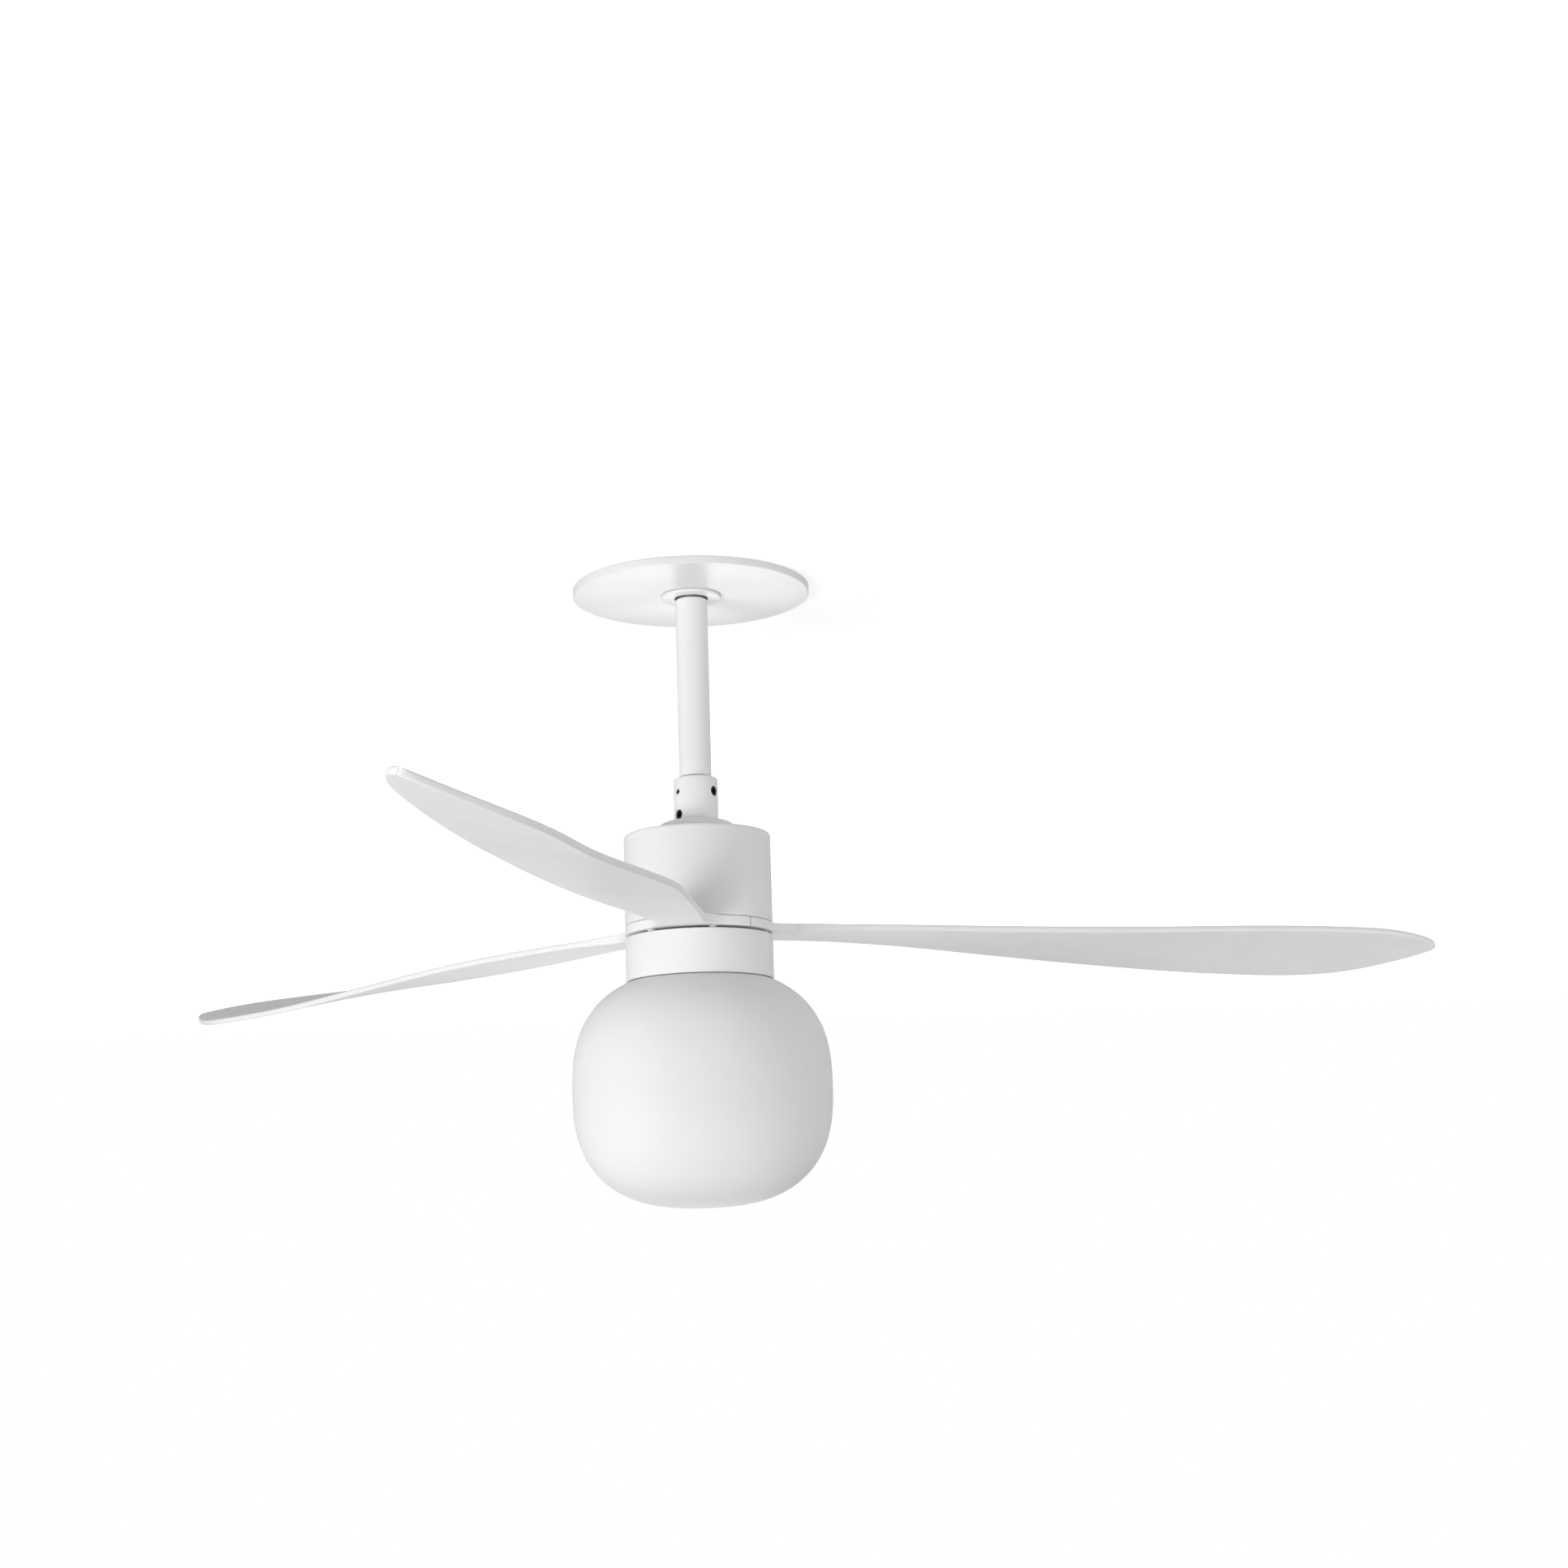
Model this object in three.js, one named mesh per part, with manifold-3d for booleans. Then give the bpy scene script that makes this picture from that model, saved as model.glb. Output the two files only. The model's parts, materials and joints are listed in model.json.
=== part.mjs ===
// Ceiling fan with an opal globe light, hung on a short downrod.
// Millimetres, +Z up. The origin is on the fan's axis in the plane of the ceiling.
import * as THREE from 'three';
import { mergeVertices } from 'three/addons/utils/BufferGeometryUtils.js';
import Module from 'manifold-3d';

const wasm = await Module();
wasm.setup();

// ---- driving dimensions ----
const BLADE_COUNT = 3;
const SWEEP_RADIUS = 660;          // 1320 mm sweep, the 52 inch class
const FIRST_BLADE_ANGLE = 18.5;    // degrees from +X, blades follow every 120 degrees
const BODY_RADIUS = 58;            // motor housing, blade ring and light kit share it
const SHEET = 1.8;                 // wall of the pressed shells
const GAP = 0.3;                   // clearance between neighbouring pieces

// heights, measured down from the ceiling
const PLATE_BOTTOM = -6;
const SLEEVE_TOP = -8.9;
const SLEEVE_BOTTOM = -155.6;
const COUPLING_TOP = -156.4;
const COUPLING_BOTTOM = -192.3;
const HOUSING_TOP = -202.7;
const HOUSING_BOTTOM = -274.2;
const RING_TOP = -274.6;
const RING_BOTTOM = -282;
const KIT_TOP = -284.1;
const KIT_BOTTOM = -318.5;

// ceiling side
const PLATE_RADIUS = 95;
const PLATE_SKIN = 1.5;
const PLATE_HOLE = 21;
const FLANGE_RADIUS = 84;
const FLANGE_THICKNESS = 1.6;
const CEILING_SCREW_CIRCLE = 68;
const CEILING_SCREW = { headRadius: 4.6, headHeight: 1.7, radius: 2.5, length: 24, hole: 2.9 };
const MAGNET_CIRCLE = 56;
const PLATE_MAGNET_RADIUS = 6;
const BALL_RADIUS = 26;
const BALL_SEAT_RADIUS = 20;
const CUP_RADIUS = 45;
const CUP_TOP = 62;
const CUP_SEAT = { radius: 48, depth: 0.4 };   // shallow step that the can stands in
const BALL_CENTRE = Math.sqrt((BALL_RADIUS + GAP) ** 2 - BALL_SEAT_RADIUS ** 2) - CUP_SEAT.depth;
const CABLE_ENTRY = { x: -24, radius: 8, bore: 5, lip: 2 };
const TERMINALS = { x: 24, depth: 14, width: 34, height: 11, pitch: 11, bore: 2.2 };
const PIN_RADIUS = 3;
const PIN_HALF_LENGTH = 23;
const TRIM = { radius: 24, bevel: 0.8, drop: 1.9, collar: 2.4, clearance: 0.6 };

// rod and shaft
const ROD_RADIUS = 10;
const ROD_BORE = 7.6;
const ROD_BOTTOM = -174.4;
const ROD_ABOVE_BALL = 23;
const SLEEVE_RADIUS = 12.8;
const SLEEVE_BORE = 10.4;
const SLEEVE_ROUNDING = 2;
const COUPLING_RADIUS = 17.5;
const COUPLING_ROUNDING = 2.4;
const SHAFT_RADIUS = 7.5;
const SHAFT_BORE = 5.2;
const SHAFT_TOP = -175.8;
const SHAFT_BOTTOM = -300;

// motor
const ROTOR_RADIUS = 48;
const ROTOR_TOP = -214;
const ROTOR_SPLIT = -238;
const ROTOR_BOTTOM = -262;
const STATOR_RADIUS = 38.5;
const STATOR_TEETH = 9;
const STATOR_HALF_STACK = 8;
const STATOR_HUB = 21;
const BEARING_RADIUS = 13;
const BEARING_WIDTH = 7;
const COVER_SKIN = 2.4;
const RIM_WALL = 2.6;
const MAGNET_HALF_HEIGHT = 12;
const HOUSING_SKIN = 2;
const HOUSING_BORE = 12;
const HOUSING_ROUNDING = 2.4;
const HOUSING_SCREW = { circle: 22, headRadius: 3.2, headHeight: 1.6, radius: 1.6, length: 6, hole: 1.9 };
const BRACKET = { radius: 52, thickness: 2.2, bossRadius: 13, bossHeight: 5 };
const CONTROLLER = { inner: 16, outer: 50, top: -210.8, thickness: 1.6 };

// blades
const WEDGE_INNER_RADIUS = 24;
const WEDGE_SHIFT = 5;             // degrees by which a root leads its blade
const NECK_FILLET = 30;
const NECK_HALF = 19.3;
const NECK_RUNOUT = 4.2;           // how far the fillet runs past its narrowest point
const SEAM_GAP = 1.1;
const BLADE_SCREW_CIRCLE = 52;
const BLADE_SCREW_SPREAD = 28;     // degrees each side of a root's middle
const BLADE_SCREW = { headRadius: 3.4, headHeight: 1.3, radius: 1.8, length: 12, hole: 2.2 };
const HUB = { inner: 18, outer: 55.3, rimHeight: 5, neck: 40 };

// light kit
const KIT_SKIN = 2;
const KIT_ROUNDING = 1.2;
const KIT_PLATE = { radius: 50, thickness: 2 };
const KIT_NUT = { radius: 13, height: 6 };
const HEAT_SINK = { radius: 43, top: -304.3, thickness: 3, postCircle: 38, postRadius: 3 };
const DRIVER = { length: 46, width: 22, height: 13, y: 29, z: -295.4 };
const LED_BOARD = { radius: 41, top: -307.6, thickness: 1.4 };
const LEDGE_TOP = -312.2;
const LEDGE_INNER = 50;
const LEDGE_THICKNESS = 2;
const LUG_COUNT = 3;
const LUG = { radius: 53.6, halfAngle: 8 };
const NOTCH = { radius: 54.4, from: 14, to: 36 };

// globe
const GLOBE_RADIUS = 101;
const GLOBE_HALF_HEIGHT = 91.6;
const GLOBE_CENTRE = -402.2;
const GLOBE_POWER = 2.6;           // exponent of the squared-off profile
const GLASS = 3;
const NECK_RADIUS = 47;
const NECK_TOP = -309.4;

const degrees = THREE.MathUtils.degToRad;
const circle = (count, first = 0) =>
  Array.from({ length: count }, (_, i) => degrees(first + (360 * i) / count));

// ---- finishes ----
const finish = (color, roughness, metalness) => ({ color, roughness, metalness });
const WHITE_PAINT = finish(0xf0f0ee, 0.42, 0);
const WHITE_BLADE = finish(0xefefed, 0.5, 0);
const OPAL_GLASS = finish(0xf4f3f0, 0.35, 0);
const BLACK_STEEL = finish(0x1c1c1e, 0.45, 0.8);
const STEEL = finish(0xb4b6b8, 0.4, 1);
const ZINC = finish(0xc4c6c4, 0.5, 0.9);
const ALUMINIUM = finish(0xc9cbce, 0.45, 0.9);
const CAST = finish(0x9a9c9e, 0.6, 0.8);
const COPPER = finish(0xb8703a, 0.4, 0.9);
const BOARD = finish(0x2f6b45, 0.6, 0);
const WHITE_BOARD = finish(0xf2f2ee, 0.6, 0);
const GREY_NYLON = finish(0x8d8f90, 0.6, 0);
const DARK_MAGNET = finish(0x4a4c50, 0.5, 0.5);
const BLACK_RUBBER = finish(0x1b1b1b, 0.8, 0);

// ---- solids ----
// Shared corners become one vertex and triangles that have no area are dropped.
function weld(geometry) {
  const bare = geometry.clone();
  bare.deleteAttribute('normal');
  bare.deleteAttribute('uv');
  const merged = mergeVertices(bare, 1e-4);
  const corners = Array.from(merged.index.array);
  const kept = [];
  for (let i = 0; i < corners.length; i += 3) {
    const [a, b, c] = corners.slice(i, i + 3);
    if (a !== b && b !== c && c !== a) kept.push(a, b, c);
  }
  merged.setIndex(kept);
  return merged;
}

function solid(geometry) {
  const welded = weld(geometry);
  return new wasm.Manifold(new wasm.Mesh({
    numProp: 3,
    vertProperties: new Float32Array(welded.attributes.position.array),
    triVerts: new Uint32Array(welded.index.array),
  }));
}

function geometryOf(manifold) {
  const mesh = manifold.getMesh();
  const geometry = new THREE.BufferGeometry();
  geometry.setAttribute('position', new THREE.BufferAttribute(mesh.vertProperties, 3));
  geometry.setIndex(new THREE.BufferAttribute(mesh.triVerts, 1));
  return geometry;
}

const cut = (geometry, ...tools) =>
  geometryOf(tools.reduce((body, tool) => body.subtract(solid(tool)), solid(geometry)));

const join = (geometry, ...others) =>
  geometryOf(others.reduce((body, other) => body.add(solid(other)), solid(geometry)));

// Profile points are [radius, height], listed anticlockwise with the radius to the right.
function turned(profile, segments = 24) {
  const points = profile.map(([r, z]) => new THREE.Vector2(r, z));
  if (profile.every(([r]) => r > 0)) points.push(points[0].clone());
  return new THREE.LatheGeometry(points, segments).rotateX(Math.PI / 2);
}

// A ring or tube between two radii and two heights.
const ring = (inner, outer, low, high, segments = 24) =>
  turned([[inner, low], [outer, low], [outer, high], [inner, high]], segments);

// A plain cylinder along Z, or along another direction when it is turned afterwards.
const rod = (radius, low, high, segments = 12) =>
  new THREE.CylinderGeometry(radius, radius, high - low, segments)
    .rotateX(Math.PI / 2).translate(0, 0, (low + high) / 2);

// A cutter for a hole along Z that runs past both faces.
const through = (radius, low, high, segments) => rod(radius, low - 2, high + 2, segments);

// A piece of an arc as profile points, from one angle to another in degrees.
function arc(r, z, radius, from, to, steps) {
  return Array.from({ length: steps + 1 }, (_, i) => {
    const a = degrees(from + ((to - from) * i) / steps);
    return [r + radius * Math.cos(a), z + radius * Math.sin(a)];
  });
}

// Moves a piece made on the axis out to a radius and an angle.
const atAngle = (geometry, radius, angle) => geometry.translate(radius, 0, 0).rotateZ(angle);

const box = (sx, sy, sz, x, y, z) => new THREE.BoxGeometry(sx, sy, sz).translate(x, y, z);

// ---- screws: the head points down, its upper face is at z = 0 ----
function socketScrew({ headRadius, headHeight, radius, length }) {
  const head = rod(headRadius, -headHeight, 0, 10);
  const shank = rod(radius, -0.2, length, 8);
  const socket = rod(headRadius * 0.5, -headHeight - 1, -headHeight * 0.4, 6);
  return cut(join(head, shank), socket);
}

// ---- the object ----
const fan = new THREE.Group();

function add(name, geometry, look) {
  const mesh = new THREE.Mesh(weld(geometry), new THREE.MeshStandardMaterial(look));
  mesh.name = name;
  fan.add(mesh);
}

// The pressed plate that is screwed to the ceiling and carries the hanger ball.
function mountingPlate() {
  const low = -FLANGE_THICKNESS;
  const seat = -CUP_SEAT.depth;
  const disc = turned([
    [BALL_SEAT_RADIUS + 0.8, low], [FLANGE_RADIUS, low], [FLANGE_RADIUS, 0],
    [CUP_SEAT.radius, 0], [CUP_SEAT.radius, seat], [BALL_SEAT_RADIUS, seat],
  ], 28);
  const holes = circle(4, 45).map((a) =>
    atAngle(through(CEILING_SCREW.hole, low, 0, 8), CEILING_SCREW_CIRCLE, a));
  return cut(disc, ...holes);
}

// The can over the hanger ball, above the ceiling, with an entry for the supply cable.
function wiringCup() {
  const inner = CUP_RADIUS - SHEET;
  const can = turned([
    [0, CUP_TOP - SHEET], [inner, CUP_TOP - SHEET], [inner, GAP - CUP_SEAT.depth],
    [CUP_RADIUS, GAP - CUP_SEAT.depth],
    [CUP_RADIUS, CUP_TOP], [0, CUP_TOP],
  ]);
  return cut(can, through(CABLE_ENTRY.radius, CUP_TOP - SHEET, CUP_TOP, 16)
    .translate(CABLE_ENTRY.x, 0, 0));
}

// A rubber grommet with a groove round the edge of the can's cable entry.
function cableGrommet() {
  const { bore } = CABLE_ENTRY;
  const waist = CABLE_ENTRY.radius - GAP;
  const lip = CABLE_ENTRY.radius + CABLE_ENTRY.lip;
  const flange = 1.5;
  const low = CUP_TOP - SHEET - GAP;
  const high = CUP_TOP + GAP;
  return turned([
    [bore, low - flange], [lip, low - flange], [lip, low], [waist, low],
    [waist, high], [lip, high], [lip, high + flange], [bore, high + flange],
  ], 16).translate(CABLE_ENTRY.x, 0, 0);
}

function terminalBlock() {
  const { x, depth, width, height, pitch, bore } = TERMINALS;
  const middle = CUP_TOP - SHEET - GAP - height / 2;
  const block = box(depth, width, height, x, 0, middle);
  const bores = [-pitch, 0, pitch].map((y) =>
    rod(bore, -5, 5, 8).rotateY(Math.PI / 2).translate(x - depth / 2, y, middle - 1));
  return cut(block, ...bores);
}

// The thin round plate that shows on the ceiling: a shallow dish, open above.
function canopyPlate() {
  const low = PLATE_BOTTOM;
  const skin = low + PLATE_SKIN;
  const wall = PLATE_RADIUS - PLATE_SKIN;
  return turned([
    [PLATE_HOLE, low], [PLATE_RADIUS - 1, low],
    ...arc(PLATE_RADIUS - 1, low + 1, 1, -45, 0, 1),
    [PLATE_RADIUS, -GAP], [wall, -GAP], [wall, skin], [PLATE_HOLE, skin],
  ], 40);
}

// The collar under the plate that closes round the rod.
function trimRing() {
  const { radius, bevel, drop, collar, clearance } = TRIM;
  const top = PLATE_BOTTOM - GAP;
  const low = top - drop;
  const hole = SLEEVE_RADIUS + clearance;
  return turned([
    [hole, low], [radius - bevel, low], [radius, low + bevel], [radius, top],
    [PLATE_HOLE - GAP, top], [PLATE_HOLE - GAP, top + collar], [hole, top + collar],
  ]);
}

const pinHole = () =>
  through(PIN_RADIUS + GAP, -BALL_RADIUS, BALL_RADIUS, 8).rotateX(Math.PI / 2);

// The ball has a bore for the rod and a cross bore for the pin.
function hangerBall() {
  const flat = 19;
  const bore = ROD_RADIUS + 0.9;
  const edge = Math.asin(flat / BALL_RADIUS) * (180 / Math.PI);
  const ball = turned([
    [bore, -flat], ...arc(0, 0, BALL_RADIUS, -edge, edge, 5), [bore, flat],
  ], 20);
  return cut(ball, pinHole()).translate(0, 0, BALL_CENTRE);
}

function downrod() {
  const tube = ring(ROD_BORE, ROD_RADIUS, ROD_BOTTOM, BALL_CENTRE + ROD_ABOVE_BALL, 20);
  return cut(tube, pinHole().translate(0, 0, BALL_CENTRE));
}

// The painted sleeve over the rod, rounded at both ends.
function downrodSleeve() {
  const edge = SLEEVE_ROUNDING;
  return turned([
    ...arc(SLEEVE_RADIUS - edge, SLEEVE_BOTTOM + edge, edge, -90, 0, 2),
    ...arc(SLEEVE_RADIUS - edge, SLEEVE_TOP - edge, edge, 0, 90, 2),
    [SLEEVE_BORE, SLEEVE_TOP], [SLEEVE_BORE, SLEEVE_BOTTOM],
  ], 24);
}

// ---- coupling between rod and motor shaft ----
const UPPER_SCREWS = { z: -168.6, angles: [-33, 147] };
const LOWER_SCREWS = { z: -187.1, angles: [-143, 37] };
const SET_SCREW = { z: -168.6, angle: -145, radius: 2, socket: 1, socketDepth: 1.6 };
const GRUB_SCREW = { radius: 3.8, socket: 2, socketDepth: 2.2 };
const SCREW_RECESS = 0.6;

// A cutter for a hole through the coupling's wall, along a spoke at an angle in degrees.
function radialHole(radius, z, angle) {
  return rod(radius, SHAFT_RADIUS, COUPLING_RADIUS + 4, 8)
    .rotateY(Math.PI / 2).translate(0, 0, z).rotateZ(degrees(angle));
}

function coupling() {
  const edge = COUPLING_ROUNDING;
  const step = ROD_BOTTOM - 0.7;
  const body = turned([
    [SHAFT_RADIUS + GAP, COUPLING_BOTTOM], [COUPLING_RADIUS, COUPLING_BOTTOM],
    ...arc(COUPLING_RADIUS - edge, COUPLING_TOP - edge, edge, 0, 90, 2),
    [ROD_RADIUS + GAP, COUPLING_TOP], [ROD_RADIUS + GAP, step], [SHAFT_RADIUS + GAP, step],
  ], 20);
  const seats = [UPPER_SCREWS, LOWER_SCREWS].flatMap(({ z, angles }) =>
    angles.map((a) => radialHole(GRUB_SCREW.radius + GAP, z, a)));
  return cut(body, ...seats, radialHole(SET_SCREW.radius + GAP, SET_SCREW.z, SET_SCREW.angle));
}

// A grub screw with a hexagon socket, lying along X with its inner end at the given radius.
function grubScrew({ radius, socket, socketDepth }, inner) {
  const outer = COUPLING_RADIUS - SCREW_RECESS;
  const recess = rod(socket, outer - socketDepth, outer + 1, 6);
  return cut(rod(radius, inner, outer, 8), recess).rotateY(Math.PI / 2);
}

// ---- motor ----
// The low dome on the motor housing, with a hole that the coupling's foot stands in.
function topCap() {
  const rim = 31.5;
  const skin = 1.4;
  const fullness = 0.7;
  const hole = COUPLING_RADIUS + GAP;
  const low = HOUSING_TOP + GAP;
  const high = COUPLING_BOTTOM + 0.5;
  const dome = (t, inset) => [
    hole + (rim - inset - hole) * Math.sin((t * Math.PI) / 2) ** fullness,
    low + (high - inset - low) * Math.max(0, Math.cos((t * Math.PI) / 2)) ** fullness,
  ];
  const steps = [0, 0.2, 0.5, 0.8, 1];
  return turned([
    ...steps.slice().reverse().map((t) => dome(t, 0)), ...steps.map((t) => dome(t, skin)),
  ]);
}

const housingScrewHoles = (low, high) => circle(3, 30).map((a) =>
  atAngle(through(HOUSING_SCREW.hole, low, high, 6), HOUSING_SCREW.circle, a));

function motorHousing() {
  const edge = HOUSING_ROUNDING;
  const inner = BODY_RADIUS - SHEET;
  const under = HOUSING_TOP - HOUSING_SKIN;
  const shell = turned([
    [inner, HOUSING_BOTTOM], [BODY_RADIUS, HOUSING_BOTTOM],
    ...arc(BODY_RADIUS - edge, HOUSING_TOP - edge, edge, 0, 90, 2),
    [HOUSING_BORE, HOUSING_TOP], [HOUSING_BORE, under], [inner, under],
  ], 32);
  return cut(shell, ...housingScrewHoles(under, HOUSING_TOP));
}

// The carrier on the shaft that the housing is screwed down to.
function housingBracket() {
  const { radius, thickness, bossRadius, bossHeight } = BRACKET;
  const top = HOUSING_TOP - HOUSING_SKIN - GAP;
  const disc = turned([
    [SHAFT_RADIUS + GAP, top - bossHeight], [bossRadius, top - bossHeight],
    [bossRadius, top - thickness], [radius, top - thickness],
    [radius, top], [SHAFT_RADIUS + GAP, top],
  ]);
  return cut(disc, ...housingScrewHoles(top - thickness, top));
}

// Laminated core: slots with a narrow mouth leave teeth with wide shoes.
function statorCore() {
  const shoe = STATOR_RADIUS;
  const shoeDepth = 3;
  const mouth = 3;
  const half = STATOR_HALF_STACK;
  const slots = circle(STATOR_TEETH, 180 / STATOR_TEETH).map((a) => {
    const pocket = new THREE.Shape([
      [STATOR_HUB, -3.6], [shoe - shoeDepth, -9], [shoe - shoeDepth, 9], [STATOR_HUB, 3.6],
    ].map(([x, y]) => new THREE.Vector2(x, y)));
    const body = new THREE.ExtrudeGeometry(pocket, { depth: 4 * half, bevelEnabled: false })
      .translate(0, 0, -2 * half);
    return join(body, box(4 * shoeDepth, mouth, 4 * half, shoe, 0, 0)).rotateZ(a);
  });
  return cut(rod(shoe, -half, half, 36), ...slots, through(SHAFT_RADIUS + GAP, -half, half, 20))
    .translate(0, 0, ROTOR_SPLIT);
}

// The copper over and under the core, joined through its slots.
function statorWinding() {
  const overhang = 4;
  const tooth = 12.5;
  const half = STATOR_HALF_STACK + overhang;
  const annulus = ring(STATOR_HUB + 1, STATOR_RADIUS - 4, -half, half, 18);
  const teeth = circle(STATOR_TEETH).map((a) =>
    box(STATOR_RADIUS, tooth, 2 * (STATOR_HALF_STACK + GAP), STATOR_RADIUS / 2, 0, 0).rotateZ(a));
  return cut(annulus, ...teeth).translate(0, 0, ROTOR_SPLIT);
}

// One dished half of the rotor. The other half is its mirror image.
function rotorCover(outerFace, split) {
  const way = Math.sign(outerFace - split);
  const inside = outerFace - way * COVER_SKIN;
  const edge = split + (way * GAP) / 2;
  const hub = BEARING_RADIUS + GAP;
  const hubEnd = inside - way * 6;
  const profile = [
    [hub, outerFace], [ROTOR_RADIUS, outerFace], [ROTOR_RADIUS, edge],
    [ROTOR_RADIUS - RIM_WALL, edge], [ROTOR_RADIUS - RIM_WALL, inside],
    [hub + COVER_SKIN, inside], [hub + COVER_SKIN, hubEnd], [hub, hubEnd],
  ];
  return turned(way > 0 ? profile.reverse() : profile);
}

// The cast ring that joins the rotor to the blade roots.
function bladeHub() {
  const top = ROTOR_BOTTOM - GAP;
  const low = RING_TOP + GAP;
  const { inner, outer, rimHeight, neck } = HUB;
  const disc = turned([
    [inner, low], [outer, low], [outer, low + rimHeight], [neck, top], [inner, top],
  ]);
  const holes = bladeScrewAngles().map((a) =>
    atAngle(through(BLADE_SCREW.hole, low, top, 6), BLADE_SCREW_CIRCLE, a));
  return cut(disc, ...holes);
}

// ---- blades ----
// Smooth curve through the values given at a few stations along the blade.
function along(stations, values, x) {
  const last = stations.length - 1;
  const i = Math.min(last - 1, Math.max(0, stations.findIndex((s) => s > x) - 1));
  const j = x >= stations[last] ? last - 1 : i;
  const slope = (k) => {
    const low = Math.max(0, k - 1);
    const high = Math.min(last, k + 1);
    return (values[high] - values[low]) / (stations[high] - stations[low]);
  };
  const h = stations[j + 1] - stations[j];
  const t = (x - stations[j]) / h;
  return (2 * t ** 3 - 3 * t ** 2 + 1) * values[j] + (t ** 3 - 2 * t ** 2 + t) * h * slope(j)
    + (3 * t ** 2 - 2 * t ** 3) * values[j + 1] + (t ** 3 - t ** 2) * h * slope(j + 1);
}

const STATIONS = [66, 120, 180, 260, 360, 470, 570, SWEEP_RADIUS];
const HALF_CHORD = [18, 27, 34.6, 43.3, 47.4, 48.6, 43.4, 19.2];
const CHORD_CENTRE = [0, -2.3, -4.1, -4.2, -8.2, -14.1, -16.6, -30];
const RISE = [0.4, -0.1, -1.3, -3.9, -8, -11.9, -12.9, -13.9];
const TWIST = [2.5, 2.3, 2.6, 4.7, 9.1, 14.3, 17.3, 20.8];
const TIP_START = 580;
const ROOT_THICKNESS = RING_TOP - RING_BOTTOM;
const BLADE_THICKNESS = 5;
const THINNING = 65;               // length over which a root thins to its blade
const ROOT_MIDDLE = (RING_TOP + RING_BOTTOM) / 2;

const seamAngle = (side) => degrees(60 - side * WEDGE_SHIFT);

// Place along the blade at which a root's seam face meets the outside of the ring.
function cornerDistance(side) {
  const seam = seamAngle(side);
  return BODY_RADIUS * Math.cos(seam - Math.asin((SEAM_GAP * Math.cos(seam)) / BODY_RADIUS));
}

// Distance from the blade's axis to its edge: side -1 leads, side +1 trails.
function edgeDistance(x, side) {
  const filletX = Math.sqrt((BODY_RADIUS + NECK_FILLET) ** 2 - (NECK_HALF + NECK_FILLET) ** 2);
  if (x < cornerDistance(side)) return x * Math.tan(seamAngle(side)) - SEAM_GAP;
  if (x < (filletX * BODY_RADIUS) / (BODY_RADIUS + NECK_FILLET)) {
    return Math.sqrt(BODY_RADIUS ** 2 - x ** 2);
  }
  if (x < filletX + NECK_RUNOUT) {
    return NECK_HALF + NECK_FILLET - Math.sqrt(NECK_FILLET ** 2 - (x - filletX) ** 2);
  }
  const along66 = Math.max(x, STATIONS[0]);
  const round = x > TIP_START
    ? (1 - ((x - TIP_START) / (SWEEP_RADIUS - TIP_START)) ** 2.6) ** 0.5 : 1;
  return along(STATIONS, HALF_CHORD, along66) * round
    + side * along(STATIONS, CHORD_CENTRE, along66);
}

const between = (from, to, count) =>
  Array.from({ length: count }, (_, i) => from + ((to - from) * i) / count);

// Stations close together round the root and the tip, wide apart in between.
function bladeStations() {
  const corners = [cornerDistance(1), cornerDistance(-1)];
  const tip = SWEEP_RADIUS - TIP_START;
  return [
    ...between(12, corners[1], 2), ...between(corners[1], corners[0], 2),
    ...between(corners[0], 51, 4), ...between(51, 78, 6), ...between(78, 180, 5),
    ...between(180, TIP_START, 8),
    ...between(0, 90, 7).map((a) => TIP_START + tip * Math.sin(degrees(a))),
    SWEEP_RADIUS - 0.4,
  ];
}

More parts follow.
